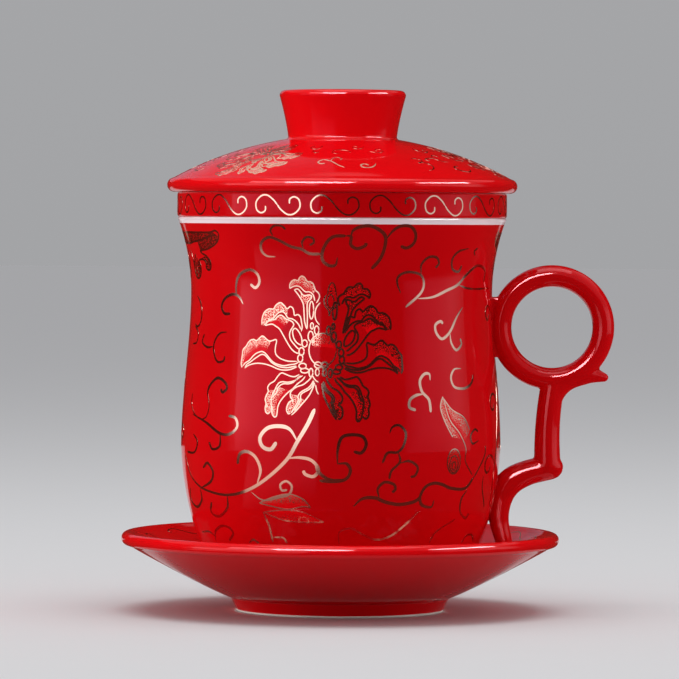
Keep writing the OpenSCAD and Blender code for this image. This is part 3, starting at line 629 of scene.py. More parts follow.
# A petal is its lines, each a list of points (u, v), and its nets. A net runs between two of the lines
# and is (line, from, to, line, from, to, reach): shares of the lines, and how far across it is drawn.
PETALS = [
    ([
        [(-28.5, 66.3), (-28.8, 67.6), (-28.6, 69.5), (-28.4, 71.1), (-27.4, 72),
         (-26.9, 72.8), (-26, 73.6), (-25, 73.8), (-24.1, 73.5), (-23.4, 74), (-22.5, 74.7),
         (-21.8, 74.6), (-20.9, 73.9), (-20.1, 73.5), (-19.2, 73.6), (-18.2, 73.9),
         (-17.9, 73.4), (-18.1, 72.4), (-18.2, 71.1), (-17.9, 70), (-17, 69.2), (-15.9, 68.7),
         (-14.2, 68.3), (-11.8, 68.3)],
        [(-28.1, 66.8), (-27.4, 67.6), (-26.1, 68.3), (-24.8, 69.6), (-23.7, 70.3),
         (-22.3, 70.7), (-21.2, 70.3), (-20.1, 69.3), (-19.2, 68.4), (-18.1, 67.7),
         (-16.8, 67.3), (-15.4, 67.1), (-13.8, 67.4), (-12.4, 67.6), (-11.3, 68.2)],
        [(-27.4, 66.3), (-26.9, 67.2), (-25.7, 67.9), (-24.5, 68.7), (-23.5, 69.3),
         (-22.4, 69.9), (-21.3, 69.8), (-20.2, 68.9), (-19.2, 68), (-18, 67.3), (-16.6, 66.8),
         (-14.8, 66.6), (-13.4, 66.8), (-12, 67.1)],
        [(-27.5, 66.2), (-26.5, 66.9), (-24.9, 67.4), (-23.3, 67.6), (-21.5, 67.5),
         (-20, 67.2), (-18.7, 66.8), (-17.4, 66.3), (-16, 66), (-14.5, 66), (-13.2, 66.3),
         (-11.8, 66.9)],
    ], [(0, 0, 0.6, 1, 0.02, 0.42, 0.65)]),
    ([
        [(-22.6, 77.6), (-22.6, 79.1), (-22.3, 80.3), (-21.7, 81.2), (-20.5, 81.9),
         (-19.1, 81.9), (-18.4, 82.9), (-17.1, 83.6), (-16, 82.9), (-15.1, 82), (-14.2, 82.6),
         (-13.4, 82.1), (-13.1, 81.1), (-12.9, 80.3), (-11.9, 80.5), (-11.2, 79.8),
         (-10.9, 78.5), (-10.7, 77.4), (-10.9, 76.1)],
        [(-21.8, 77.6), (-21.1, 78.4), (-20.3, 79.1), (-19.2, 79.4), (-18.3, 80.3),
         (-17.5, 81), (-16.4, 81.2), (-15.6, 80.7), (-14.8, 79.6), (-13.7, 79.4),
         (-12.7, 78.9), (-11.7, 77.9), (-11, 76.6)],
        [(-21.6, 77.5), (-20.7, 78.6), (-19.6, 79), (-18.6, 79.2), (-17.9, 79.9), (-17, 80.3),
         (-16.2, 80), (-15.3, 79.3), (-14.3, 79), (-13.4, 78.5), (-13.1, 77.7), (-13.9, 76.4),
         (-14.2, 75.3), (-13.9, 74), (-12.9, 72.8), (-11.9, 71.8), (-11.3, 71.4)],
        [(-21.6, 77.5), (-20.4, 77.8), (-19.3, 77.9), (-18.3, 77.4), (-17.2, 76.7),
         (-16.3, 75.5), (-15.2, 73.8), (-14.1, 72.2), (-13.1, 71.1), (-12.1, 70.5),
         (-11.4, 70.4)],
        [(-12.7, 77), (-13.3, 76.4), (-13.3, 75.5), (-12.9, 74.2), (-12, 73.1), (-10.8, 72.5)],
        [(-12.7, 77), (-12, 76.5), (-11.2, 75.4), (-10.7, 74.1), (-10.7, 72.5)],
    ], [(0, 0, 0.52, 1, 0, 0.64, 1.4), (2, 0.06, 0.5, 3, 0.1, 0.45, 0.5)]),
    ([
        [(-14.4, 87.3), (-14.3, 88.4), (-13.8, 89.2), (-13, 89.6), (-12, 89.4), (-11.6, 90.1),
         (-10.9, 90.6), (-10.1, 90.2), (-9.4, 89.2), (-8.5, 89.1), (-7.8, 88.6), (-7.4, 87.6),
         (-7.1, 86.9), (-6.4, 86.3), (-6, 85.4), (-6.4, 84.3), (-6.9, 83.6)],
        [(-14.4, 87.3), (-13.5, 87.8), (-12.5, 88), (-11.5, 87.8), (-10.7, 87.1), (-9.9, 86.5),
         (-8.9, 86.5), (-8.1, 86.1), (-7.6, 85.3), (-7.3, 84.1)],
        [(-13.1, 87), (-12.1, 87.2), (-11.3, 86.5), (-10.7, 85.7), (-9.9, 85.5), (-8.9, 85.7),
         (-8.2, 85.4), (-8.4, 84.7), (-9.1, 84), (-9.4, 83.3), (-9.4, 81.8), (-9.3, 80.2),
         (-9.3, 78.5), (-9.3, 76.8)],
        [(-13.1, 87), (-12.1, 85.9), (-11.1, 84.5), (-10.5, 83.3), (-10.3, 81.8),
         (-10.2, 80.2), (-10, 78.5), (-9.4, 76.7)],
    ], [(0, 0, 0.75, 1, 0, 0.8, 0.8), (2, 0.15, 0.55, 3, 0.28, 0.45, 1.0)]),
    ([
        [(-11.1, 64.9), (-12.3, 64.3), (-13.5, 64.4), (-14.7, 64.8), (-15.9, 65.2),
         (-16.7, 64.8), (-17.5, 63.8), (-18.1, 63), (-19.3, 62.3), (-19.9, 61.4),
         (-19.7, 60.3), (-20.2, 59.3), (-20.5, 58.2), (-20.2, 57.1), (-20.4, 56), (-20.2, 55),
         (-19.6, 54.5), (-18.9, 54.9)],
        [(-10.2, 64.6), (-11.1, 64.1), (-12.1, 63.4), (-13.1, 63), (-14.4, 62.8),
         (-15.8, 62.9), (-16.8, 62.5), (-17.4, 61.6), (-17.8, 60.7), (-18.4, 59.6),
         (-18.7, 58.4), (-18.7, 57.1), (-18.5, 55.6), (-18.3, 54.5), (-17.7, 53.7),
         (-17.1, 53.9), (-16.9, 54.9), (-16.8, 56.2), (-16.3, 57.5), (-15.3, 58.9),
         (-14, 60.2), (-12.8, 61.1), (-11.7, 62.3), (-10.3, 63.4), (-9.5, 64.4)],
        [(-10.8, 64.6), (-11.8, 63.7), (-12.8, 62.8), (-14, 62.4), (-15.4, 62.4),
         (-16.4, 61.9), (-17, 61.1), (-17.3, 60.1), (-17.9, 59.4), (-18.3, 58.8)],
    ], [(0, 0.58, 1, 1, 0.33, 0.54, 1.4), (1, 0.29, 0.58, 1, 0.85, 0.62, 0.75)]),
    ([
        [(-7.9, 64.6), (-8.1, 63.9), (-9, 63), (-10.1, 62.2), (-11.6, 61.7), (-12.8, 60.9),
         (-13.4, 60), (-13.3, 58.9), (-12.8, 58.2), (-13.7, 57.6), (-14.2, 56.5),
         (-14.3, 55.5), (-13.8, 54.6), (-13.2, 54.8)],
        [(-7.3, 63.4), (-7.8, 62.3), (-8.8, 61.3), (-10.1, 60.6), (-11, 59.8), (-11.3, 58.9),
         (-11, 58.3), (-11.5, 57.4), (-12.1, 56.3), (-12.6, 55.4), (-13.1, 54.8)],
        [(-7.1, 63.2), (-7.6, 61.8), (-8.6, 60.9), (-9.9, 60.2), (-10.6, 59.5), (-10.6, 58.4),
         (-10.9, 57.6), (-11.6, 56.4), (-12.2, 55.4)],
        [(-6.9, 62.8), (-7.4, 61.4), (-8.2, 59.7), (-9.3, 58.2), (-10.6, 56.7), (-11.7, 55.4),
         (-13, 54.2)],
    ], [(0, 0.48, 1, 1, 0.45, 1, 1.4), (2, 0.6, 1, 3, 0.5, 0.95, 1.2)]),
]
BUD = [
    [(-3.8, 85.8), (-3.6, 87.4), (-3.1, 88.5), (-2.6, 88.9), (-2, 88.4), (-1.7, 87.4), (-1.4, 85.3)],
    [(-4.1, 85.8), (-4.8, 84.5), (-4.4, 82.8), (-3.5, 81.6), (-3.4, 80.2)],
    [(-1.4, 85.3), (-1.1, 83.7), (-1.9, 82.2), (-3, 81.5), (-3.2, 80.2)],
    [(-5.8, 83.7), (-6.6, 82.8), (-7.1, 81.7), (-7.2, 80.4), (-6.9, 79.1), (-5.9, 77.8)],
    [(-7.7, 64.7), (-6.7, 63.4), (-5.9, 62.9)],
    [(-6.7, 62.3), (-6.4, 60.8), (-5.9, 59.7)],
]
# Beads, the bud's heart and the seed pod are ellipses (u, v, half width, half height).
BEADS = [
    (-8.0, 77.6, 0.4, 0.8), (-6.7, 76.5, 0.6, 1.1), (-8.3, 74.9, 0.7, 1.3), (-8.2, 81.7, 0.6, 2.3),
    (-9.9, 73.0, 0.7, 0.9), (-10.7, 70.9, 0.7, 1.0), (-11.0, 69.1, 0.7, 1.0), (-10.3, 67.1, 1.0, 0.7),
    (-9.7, 65.9, 1.1, 0.6), (-8.0, 65.4, 0.5, 1.1), (-6.3, 65.5, 0.5, 0.9), (-6.2, 67.4, 0.9, 0.8),
]
# The right half of a flower cut off below the lip, as a petal is given. It mirrors about HALF_BLOOM_U.
HALF_BLOOM = ([
    [(-57.0, 101.8), (-54, 101.8), (-51, 101.8), (-48, 101.8), (-45, 101.8), (-42, 101.8), (-39.5, 101.9),
     (-37.6, 102.3), (-36.5, 101.7), (-36.7, 100.5), (-37.6, 99.4), (-39.3, 98.5), (-41.4, 97.8),
     (-43.6, 97.3), (-45.8, 97.1), (-47.6, 96.9)],
    [(-37.4, 101.2), (-41, 100.7), (-44.5, 100), (-48, 99.5), (-51, 99.3), (-54, 98.9), (-57, 98.8)],
    [(-47.6, 96.9), (-46.4, 96.2), (-44.8, 95.8), (-43.6, 95.2), (-42.6, 94.4), (-42.2, 93.4),
     (-42.4, 92.6), (-43.1, 91.9), (-44.2, 91.9), (-45.1, 92.4), (-44.9, 93.2), (-45.2, 94.1),
     (-46.4, 94.6), (-48, 94.6), (-49.4, 94.3)],
    [(-49.4, 94.3), (-48.6, 93), (-48.5, 91.6), (-49.1, 90.4), (-50.2, 89.7), (-51.6, 89.6),
     (-52.8, 90.1), (-53.8, 91.2), (-54.2, 92.8), (-54.4, 94.3), (-54.9, 95.9), (-55.8, 97)],
    [(-51.5, 96.2), (-52, 94.8), (-52, 93.2), (-51.5, 91.8), (-50.8, 90.9)],
], [(0, 0.02, 0.42, 1, 1, 0, 1.4), (0, 1, 0.6, 1, 0.52, 0, 1.2), (2, 0.16, 0.5, 2, 0.96, 0.56, 1.4),
    (3, 0.08, 0.38, 4, 0, 1, 1.0), (3, 0.8, 0.46, 4, 0, 1, 0.9)])
HALF_BLOOM_U = -57.0
HALF_BLOOM_NET = 3      # its nets' lines are this much wider
BUD_HEART = (-3.0, 84.0, 0.9, 1.8)
POD = (-5.0, 71.4, 3.7, 4.3)
FLOWER_U, FLOWER_V = -5.2, 70.0
# The right petals mirror the left ones, each scaled across and turned by its own pair here.
RIGHT_PETALS = [(0.93, -3), (1.05, -3), (1.0, -13), (0.9, -5), (0.93, -11)]
UNROLL_R = 42.0                         # the wall is unrolled along a circle of this radius
REPEAT_U = np.pi * UNROLL_R             # the drawing repeats on the far side
LINE_W, COLLAR_LINE_W, SMALL_LINE_W = 0.33, 0.4, 0.24   # on the wall, the collar, the lid and saucer
# Painted shade: the right half mirrors the left, and drawing it bolder paints the wide dark patches that
# its lines show where they reflect dark.
BOLD = 1.6              # the flower's right half is drawn this much bolder
VINE_STEPS = 8          # steps from one point of a vine or leaf to the next
VINE_WEIGHT = 0.84      # vines are drawn at this share of their width
VINE_TAPER = 0.35       # share of its width that a vine starts with
TAPER_RATE = 3          # how fast it comes to its full width
LONG_VINE, STEM_FADE = 45.0, 0.55       # a longer vine is a stem: it starts at full width and thins out
STRAIGHT = 60.0         # a line that turns by fewer degrees counts as straight
END_ROUND = 40          # power of the curve that rounds a ribbon's ends
NET_GRID = (26, 8)      # points of a net's plate, along and across
NET_LIFT = 0.45         # its height over the glaze as a share of a ribbon's
NET_FADE = 0.4          # share of the way across over which a net thins out
LEAF_REACH = 0.8        # how far across a leaf its net is drawn
ELLIPSE_POINTS = 29
# Half of the collar's S scroll, from its middle.
COLLAR_SCROLL = [
    (0, 0), (-1.1, 1.3), (-2.9, 2.5), (-4.7, 2.3), (-6.2, 0.7), (-6, -1.3), (-4.7, -2.1), (-3.5, -1.5),
    (-3.4, -0.3),
]
# How many scrolls there are, where the first one's middle lies along the collar, and how far it is low.
SCROLL_REPEATS, SCROLL_START, SCROLL_DROP = 18, -17.4, 0.1


def curve(stroke, step=0.4):
    """Points of a stroke, by summing equal short steps along its heading."""
    u, v, length, a, b, c, d = stroke[:7]
    n = max(12, int(length / step))
    t = (np.arange(n) + 0.5) / n
    h = np.radians(a + b * t + c * t**2 + d * t**3)
    du, dv = np.cos(h) * length / n, np.sin(h) * length / n
    return np.c_[u + np.r_[0, np.cumsum(du)], v + np.r_[0, np.cumsum(dv)]]


def front_vines():
    """(width, line) of each vine on the front."""
    return [(width, through(points, VINE_STEPS)) for width, points in FRONT_VINES]


def side_vines():
    """(width, line) of each vine from the front's left edge to the back."""
    return [(stroke[7], curve(stroke)) for stroke in SIDE_VINES]


def turning(line):
    """The angle in degrees between a line's first and last steps, whole turns counted."""
    step = np.diff(line, axis=0)
    heading = np.degrees(np.unwrap(np.arctan2(step[:, 1], step[:, 0])))
    return abs(heading[-1] - heading[0])


def normals(line):
    """Unit left-hand normals of a line of points."""
    d = np.gradient(line, axis=0)
    return np.c_[-d[:, 1], d[:, 0]] / np.maximum(np.hypot(d[:, 0], d[:, 1]), 1e-9)[:, None]


def through(points, n=4):
    """A smooth line through points: Catmull-Rom cubics with n steps from each point to the next."""
    p = np.array(points)
    p = np.vstack([2 * p[0] - p[1], p, 2 * p[-1] - p[-2]])
    a, b, c, d = p[:-3], p[1:-2], p[2:-1], p[3:]
    t = (np.arange(n) / n)[:, None, None]
    line = b + ((c - a) * t + (2 * a - 5 * b + 4 * c - d) * t**2 + (3 * b - a - 3 * c + d) * t**3) / 2
    return np.vstack([line.transpose(1, 0, 2).reshape(-1, 2), p[-2]])


def spaced(line, n):
    """n points along a line, found between its own points by linear interpolation."""
    t, k = np.linspace(0, len(line) - 1, n), np.arange(len(line))
    return np.c_[np.interp(t, k, line[:, 0]), np.interp(t, k, line[:, 1])]


def share(line, start, end):
    """The part of a line between two shares of its points, turned round where end comes before start."""
    i, j = round(start * (len(line) - 1)), round(end * (len(line) - 1))
    return line[i: j + 1] if i < j else line[j: i + 1][::-1]


def ellipse(u, v, a, b):
    """Points (u + a cos q, v + b sin q) of a closed ellipse, the first repeated at the end."""
    q = np.linspace(0, 2 * np.pi, ELLIPSE_POINTS)
    return np.c_[u + a * np.cos(q), v + b * np.sin(q)]


def mirrored(line, across=0.93, turn=-3):
    """A left-hand flower line made into a right-hand one: mirrored, scaled across and turned in degrees."""
    x, y = across * (FLOWER_U - line[:, 0]), line[:, 1] - FLOWER_V
    c, s = np.cos(np.radians(turn)), np.sin(np.radians(turn))
    return np.c_[FLOWER_U + x * c - y * s, FLOWER_V + x * s + y * c]


class Drawing:
    """Collects ribbons and patches, laid on one surface, into one mesh."""

    def __init__(self, surface, lift=0.045, depth=0.03):
        """surface(u, v, lift) gives points in mm; ribbons rise by lift and reach depth below it."""
        self.surface, self.lift, self.depth = surface, lift, depth
        self.points, self.faces, self.kinds, self.density, self.count = [], [], [], [], 0

    def add(self, points, faces, kind, density):
        """Adds points with faces counted from their first one, and the density of the net at each point."""
        self.points.append(points)
        self.density.append(density)
        self.faces.append(faces + self.count)
        self.kinds += [kind] * len(faces)
        self.count += len(points)

    def ribbon(self, line, width, taper=1.0, fade=0.0):
        """A closed strip along line: its width grows from the share taper to 1 and its ends are rounded.

        fade is the share of the width lost from start to end.
        """
        t = np.linspace(0, 1, len(line))
        half = width / 2 * np.minimum(taper + TAPER_RATE * t, 1) * (1 - fade * t)
        half *= np.sqrt(np.clip(1.02 - (2 * t - 1) ** END_ROUND, 0.1, 1))
        side_step = normals(line) * half[:, None]
        left, right = line + side_step, line - side_step
        ring = [self.surface(*right.T, -self.depth), self.surface(*right.T, self.lift),
                self.surface(*left.T, self.lift), self.surface(*left.T, -self.depth)]
        points = np.stack(ring, axis=1).reshape(-1, 3)
        end = len(points) - 4
        caps = np.array([[3, 2, 1, 0], [end, end + 1, end + 2, end + 3]])
        faces = np.concatenate([grid_faces(len(line), 4, False, True), caps])
        self.add(points, faces, 0, np.ones(len(points)))

    def patch(self, first, second, reach, weight, grid=NET_GRID):
        """A thin closed plate ruled between two lines: (1 - w) first + w second, w from 0 to 1.

        Its net has lines weight wide and thins out towards w = reach.
        """
        n, m = grid
        a, b = spaced(first, n), spaced(second, n)
        w = np.linspace(0, 1, m)[:, None, None]
        flat = (a * (1 - w) + b * w).reshape(-1, 2)
        top = self.surface(*flat.T, self.lift * NET_LIFT)
        low = self.surface(*flat.T, -self.depth)
        faces = plate_faces(m, n)
        spread = b[n // 2] - a[n // 2]
        along = a[n // 2 + 1] - a[n // 2]
        if along[0] * spread[1] - along[1] * spread[0] < 0:
            faces = faces[:, ::-1]
        density = weight * np.clip((reach - np.repeat(w.ravel(), n)) / NET_FADE, 0, 1)
        self.add(np.concatenate([top, low]), faces, 1, np.concatenate([density, density]))

    def finish(self, name, body):
        """The mesh of everything drawn."""
        piece = make_mesh(name, np.concatenate(self.points), np.concatenate(self.faces).tolist(),
                          [gilt, gilt_net], body, (), self.kinds, crease=40)
        layer = piece.data.attributes.new("net_density", "FLOAT", "POINT")
        layer.data.foreach_set("value", np.concatenate(self.density).astype(np.float32))
        return piece


def petal_lines(petals):
    """(lines, nets) of some petals."""
    lines, nets = [], []
    for outlines, fills in petals:
        found = [through(points) for points in outlines]
        lines += found
        for i, i0, i1, j, j0, j1, reach in fills:
            nets.append((share(found[i], i0, i1), share(found[j], j0, j1), reach, 1))
    return lines, nets


def flower_lines():
    """(fine lines, bold lines, nets) of one whole flower: the right half is drawn bolder."""
    fine, nets = petal_lines(PETALS)
    beads = [ellipse(*bead) for bead in BEADS]
    fine += beads
    bold = [mirrored(bead) for bead in beads]
    # Painted shade: the right petals' lines and nets are drawn bolder, so that they show as dark patches
    # where they reflect dark.
    for petal, (across, turn) in zip(PETALS, RIGHT_PETALS):
        lines, fills = petal_lines([petal])
        bold += [mirrored(line, across, turn) for line in lines]
        nets += [(mirrored(a, across, turn), mirrored(b, across, turn), reach + 0.2, BOLD)
                 for a, b, reach, _ in fills]
    buds = [through(points) for points in BUD]
    nets.append((share(buds[0], 0, 0.5), share(buds[0], 1, 0.5), 1.4, 1))
    pod, centre = ellipse(*POD), np.array(POD[:2])
    fine += buds + [pod, ellipse(*BUD_HEART)]
    cap = pod[4:13]
    nets.append((cap, np.flipud(centre + (cap - centre) * [-1, 0.15]), 0.9, 1.2))
    return fine, bold, nets


def on_mug(u, v, lift):
    """Points (r sin a, -r cos a, v), a = u / UNROLL_R and r the wall's radius plus lift."""
    r = side_r(v - FLOOR_Z, 0) + lift
    a = u / UNROLL_R
    return np.c_[r * np.sin(a), -r * np.cos(a), v]


def half_bloom():
    """The flower cut off below the lip, both of its halves: (lines, nets)."""
    found, fills = petal_lines([HALF_BLOOM])
    lines, nets = [], []
    for flip in (1, -1):
        turn, shift = np.array([flip, 1]), np.array([HALF_BLOOM_U * (1 - flip), 0])
        lines += [line * turn + shift for line in found]
        nets += [(a * turn + shift, b * turn + shift, reach, HALF_BLOOM_NET) for a, b, reach, _ in fills]
    return lines, nets


def draw_all(art, place, vines, vine_scale=1.0, line_width=LINE_W, leafy=True, thin=1):
    """One whole drawing of flower, vines and leaves, each line passed through place.

    Of each flower line every thin-th point is kept, and nets are as much coarser, for small repeats.
    """
    lines, bold, nets = flower_lines()
    for width, line in vines:
        long = np.hypot(*np.diff(line, axis=0).T).sum() > LONG_VINE
        art.ribbon(place(line), VINE_WEIGHT * width * vine_scale, 1.0 if long else VINE_TAPER,
                   STEM_FADE * long)
    if leafy:
        leaves = [through(points, VINE_STEPS) for points in LEAVES]
        rose = [ellipse(*ring) for ring in ROSE]
        lines += leaves + rose
        nets += [(leaves[a], leaves[b][: int(part * len(leaves[b]))], LEAF_REACH, 1)
                 for a, b, part in LEAF_NETS]
        half = (ELLIPSE_POINTS + 1) // 2
        nets.append((rose[0][:half], np.flipud(rose[0])[:half], 1.4, 1))
    for group, width in ((lines, line_width), (bold, BOLD * line_width)):
        for line in group:
            art.ribbon(place(line[::thin]), width)
    for a, b, reach, weight in nets:
        art.patch(place(a), place(b), reach, weight, [n // thin for n in NET_GRID])


def draw_mug():
    """Two flowers with their vines, one at the front and one at the back."""
    art = Drawing(on_mug)
    bloom, nets = half_bloom()
    for shift in (0, REPEAT_U):
        move = np.array([shift, 0])
        draw_all(art, lambda line: line + move, front_vines() + side_vines())
        for line in bloom:
            art.ribbon(line + move, BOLD * LINE_W)
        for a, b, reach, weight in nets:
            art.patch(a + move, b + move, reach, weight)
    return art.finish("mug_gilding", "mug")


def draw_round(name, body, vines, repeats, scale, mid_r, reach, height, turn):
    """The flower and its nearest vines, smaller, bent round a circle of radius mid_r.

    Arc u becomes the azimuth u scale / mid_r, v the radius r = mid_r + (v - FLOWER_V) scale, and the
    height is height(r). Vines that leave the radii mid_r - reach to mid_r + reach are left out, and
    so are straight ones.
    """
    def surface(u, v, lift):
        """Points (r sin a, -r cos a, height(r) + lift), a = u / mid_r and r = mid_r + v."""
        r = mid_r + v
        a = u / mid_r
        return np.c_[r * np.sin(a), -r * np.cos(a), height(r) + lift]

    art = Drawing(surface, lift=0.04)
    near = [(width, line) for width, line in vines if turning(line) > STRAIGHT
            and np.abs((line[:, 1] - FLOWER_V) * scale).max() < reach]
    for k in range(repeats):
        start = np.radians(turn + 360 * k / repeats) * mid_r
        draw_all(art, lambda line: (line - [FLOWER_U, FLOWER_V]) * scale + [start, 0], near,
                 0.9 * scale, SMALL_LINE_W, leafy=False, thin=2)
    return art.finish(name, body)


def draw_lid():
    """Three flowers and their vines round the dome."""
    return draw_round("lid_gilding", "lid", front_vines() + side_vines(), repeats=3, scale=0.56,
                      mid_r=33.3, reach=11.3, height=dome_z, turn=-41)


def draw_saucer():
    """Six flowers and their vines round the dish."""
    return draw_round("saucer_gilding", "saucer", front_vines(), repeats=6, scale=0.45, mid_r=44.6,
                      reach=11.0, height=lambda r: under_z(r) + SAUCER_WALL, turn=-32)


def draw_collar():
    """An S scroll, two equal spirals from its middle, repeated round the collar."""
    def surface(u, v, lift):
        """Points (r sin a, -r cos a, v), a = u / RIM_R and r = RIM_R + lift."""
        r = RIM_R + lift
        return np.c_[r * np.sin(u / RIM_R), -r * np.cos(u / RIM_R), v]

    art = Drawing(surface)
    half = through(COLLAR_SCROLL, VINE_STEPS)
    pitch = 2 * np.pi * RIM_R / SCROLL_REPEATS
    for k in range(SCROLL_REPEATS):
        middle = np.array([SCROLL_START + k * pitch, MUG_TOP + COLLAR_H / 2 - SCROLL_DROP])
        art.ribbon(middle + half, COLLAR_LINE_W)
        art.ribbon(middle - half, COLLAR_LINE_W)
    return art.finish("collar_gilding", "infuser")


# ---------------------------------------------------------------- floor, light and camera
FLOOR_R, FLOOR_GAP, FLOOR_SIDES = 9000, 0.02, 64    # the floor lies just under the foot ring
CARD_STEPS = 48
# The cards' colours are painted reflections: dark and grey surroundings that only the glaze and gilding
# see.
CARD_RED, CARD_GREY = (0.15, 0.024, 0.018), (0.42, 0.34, 0.42)
# Emission of the card under the key lamp, a painted reflection of a lit table: its colour, the facing
# values over which it grows, and its strength.
GLOW, GLOW_FROM, GLOW_TO, GLOW_MAX = (1, 0.86, 0.80), 0.6, 0.73, 1.5
LAYER_GAP, LAYER_SHRINK = 0.004, 0.13   # layers of a lamp lie this far apart in metres, each smaller
HORIZON, ZENITH = (0.368, 0.371, 0.382), (0.52, 0.52, 0.53)
EYE, AIM_Z = (-0.7, -1370.0, 106.7), 73.1
LENS, SENSOR, CAMERA_ROLL = 269.734, 36, -0.35      # mm and degrees


def make_floor():
    """A pale floor disc, large enough to reach past the frame."""
    a = np.linspace(0, 2 * np.pi, FLOOR_SIDES, endpoint=False)
    ring = np.c_[FLOOR_R * np.cos(a), FLOOR_R * np.sin(a), np.full(FLOOR_SIDES, -FLOOR_GAP)]
    pale = material("floor_pale", (0.80, 0.80, 0.81), 0.9, specular=0.0, vary=0.005)
    floor = make_mesh("floor", ring, [list(range(FLOOR_SIDES))], [pale], None)
    return floor


def make_cards():
    """Cards that only reflections see, round the saucer, beyond the camera, at both sides and behind.

    Each is a profile (r, z) swept between two azimuths: (r sin a, -r cos a, z), a in degrees. The dark
    and grey cards are painted reflections of dark surroundings. The one under the key lamp glows though
    it is no lamp, a painted reflection of a polished table: the flatter it is seen, the more it glows.
    """
    dark = material("card_dark", CARD_RED, 0.9, specular=0.0)
    lit = material("card_lit", CARD_RED, 0.9, specular=0.0)
    grey = material("card_grey", CARD_GREY, 0.9, specular=0.0)
    # The card under the key lamp emits light though it is no lamp: a painted reflection of a polished
    # table.
    tree = lit.node_tree
    shader = tree.nodes["Principled BSDF"]
    weight = tree.nodes.new("ShaderNodeLayerWeight")
    glow = tree.nodes.new("ShaderNodeMapRange")
    glow.inputs["From Min"].default_value = GLOW_FROM
    glow.inputs["From Max"].default_value = GLOW_TO
    glow.inputs["To Max"].default_value = GLOW_MAX
    tree.links.new(weight.outputs["Facing"], glow.inputs["Value"])
    tree.links.new(glow.outputs["Result"], shader.inputs["Emission Strength"])
    shader.inputs["Emission Color"].default_value = (*GLOW, 1)
    low = [(75, 1), (200, 1), (400, 1), (705, 1)]
    wall = [(700, 0.5), (700, 250), (700, 500)]
    for name, finish, profile, start, end in (
        ("card_low_left", dark, low, -150, -66),
        ("card_low_key", lit, low, -66, -15.5),
        ("card_low_right", dark, low, -15.5, 150),
        ("card_front", dark, [(560, 0.5), (1000, 0.5), (1500, 0.5), (1500, 250), (1500, 600)], -15.5, 47),
        ("card_left", dark, wall, -150, -86),
        ("card_right", dark, wall, 104, 150),
        ("card_back", dark, [(900, 1), (900, 230), (900, 700), (900, 1400)], 150, 182),
        ("card_back_low", dark, [(900, 1), (900, 120), (900, 230)], 182, 210),
        ("card_back_left", grey, [(900, 230), (900, 700), (900, 1400)], 182, 225),
    ):
        a = np.radians(np.linspace(start, end, CARD_STEPS))
        r, z = np.array(profile, dtype=float).T[:, :, None]
        grid = np.stack([r * np.sin(a), -r * np.cos(a), z + 0 * a], axis=2)
        faces = grid_faces(len(profile), CARD_STEPS).tolist()
        card = make_mesh(name, grid.reshape(-1, 3), faces, [finish], None)
        card.visible_camera = False
        card.visible_diffuse = False
        card.visible_shadow = False
        card.visible_transmission = False


def softbox(name, azimuth, distance, height, width, tall, radiance, tilt=0.0, spare=(), layers=1,
            narrow=LAYER_SHRINK, rays="dg"):
    """A rectangular lamp facing the mug's axis, its power pi x area x the radiance it should show.

    Places and sizes are in metres. spare lists pieces that it leaves unlit, so that a low lamp makes
    no hot patch on the floor. With layers, that many lamps share the radiance, each lower by
    LAYER_SHRINK and narrower by the share narrow, which softens the edge. rays has a d where the lamp
    lights and a g where it shows in reflections.
    """
    for k in range(1, layers):
        softbox(f"{name}_{k}", azimuth, distance - LAYER_GAP * k, height, width * (1 - narrow * k),
                tall * (1 - LAYER_SHRINK * k), radiance / layers, tilt, spare, rays=rays)
    radiance /= layers
    lamp = bpy.data.lights.new(name, "AREA")
    lamp.shape = "RECTANGLE"
    lamp.size, lamp.size_y = width, tall
    lamp.energy = radiance * np.pi * width * tall
    box = bpy.data.objects.new(name, lamp)
    bpy.context.scene.collection.objects.link(box)
    a = np.radians(azimuth)
    box.location = (distance * np.sin(a), -distance * np.cos(a), height)
    box.rotation_euler = (np.pi / 2 - np.radians(tilt), 0, a)
    box.visible_camera = False
    box.visible_diffuse, box.visible_glossy = "d" in rays, "g" in rays
    if spare:
        unlit = bpy.data.collections.new(name + "_spares")
        for i, piece in enumerate(spare):
            unlit.objects.link(piece)
            unlit.collection_objects[i].light_linking.link_state = "EXCLUDE"
        box.light_linking.receiver_collection = unlit


def make_world():
    """A pale surround that brightens evenly from the horizon to the zenith."""
    world = bpy.data.worlds.new("surround")
    world.use_nodes = True
    tree = world.node_tree
    place = tree.nodes.new("ShaderNodeTexCoord")
    split = tree.nodes.new("ShaderNodeSeparateXYZ")
    tree.links.new(place.outputs["Generated"], split.inputs["Vector"])
    tone = mixed(tree, split.outputs["Z"], HORIZON, ZENITH)
    tree.links.new(tone, tree.nodes["Background"].inputs["Color"])
    bpy.context.scene.world = world


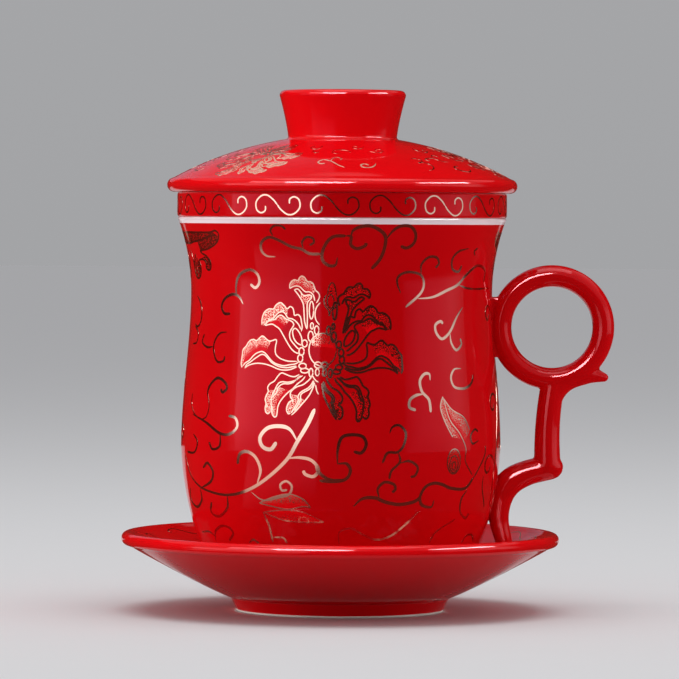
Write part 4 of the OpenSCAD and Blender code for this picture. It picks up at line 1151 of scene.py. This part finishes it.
def make_camera():
    """A long lens 1.37 m away, a little above the lip, aimed 1.4 degrees down."""
    data = bpy.data.cameras.new("camera")
    data.sensor_width = SENSOR
    data.lens = LENS
    camera = bpy.data.objects.new("camera", data)
    bpy.context.scene.collection.objects.link(camera)
    camera.location = [place * MM for place in EYE]
    camera.rotation_euler = (np.pi / 2 - np.arctan2(EYE[2] - AIM_Z, -EYE[1]), np.radians(CAMERA_ROLL), 0)
    bpy.context.scene.camera = camera


# ---------------------------------------------------------------- the whole scene
saucer, lid, collar, mug, handle = make_saucer(), make_lid(), make_collar(), make_mug(), make_handle()
gilding = [draw_lid(), draw_collar(), draw_saucer(), draw_mug()]

for node in ("infuser_cup", "strainer_base"):
    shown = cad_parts[node]
    shown.data.materials.clear()
    shown.data.materials.append(white_glaze)

floor = make_floor()
make_cards()
make_world()
below_lid = [collar, mug, handle]
# Each lamp is its name, azimuth, distance, height, width, height of its face and radiance.
softbox("key_left", -48, 0.6, 0.135, 0.76, 0.28, 2.6, spare=[floor], layers=5, narrow=0, rays="g")
softbox("side_left", -84, 0.5, 0.135, 0.34, 0.34, 4.2, spare=[floor], rays="d")
softbox("side_right", 98, 0.5, 0.135, 0.3, 0.3, 1.5, spare=[floor], rays="d")
softbox("fill_right", 74, 0.6, 0.135, 0.58, 0.26, 0.95, spare=[floor], layers=4)
softbox("top", 0, 0.1, 1.2, 1.0, 0.8, 2.4, tilt=90)
softbox("crown", -10, 0.55, 0.55, 0.5, 0.3, 4.9, tilt=40, spare=[floor, *below_lid], rays="d")
softbox("strip_left", -16, 0.62, 0.50, 0.52, 0.28, 38, tilt=36, spare=[floor, *gilding], rays="g")
softbox("strip_right", 76, 0.62, 0.50, 0.50, 0.16, 34, tilt=36, spare=[floor, handle, *gilding], rays="g")
softbox("sheet_left", -36, 0.64, 0.52, 0.76, 0.36, 5.4, tilt=36, spare=[floor], rays="g")
softbox("glint", 193, 0.9, 0.72, 0.55, 0.85, 1.1, tilt=38,
        spare=[floor, saucer, lid, *below_lid, *gilding[1:]], rays="g")
make_camera()
bpy.context.scene.view_settings.view_transform = "Standard"
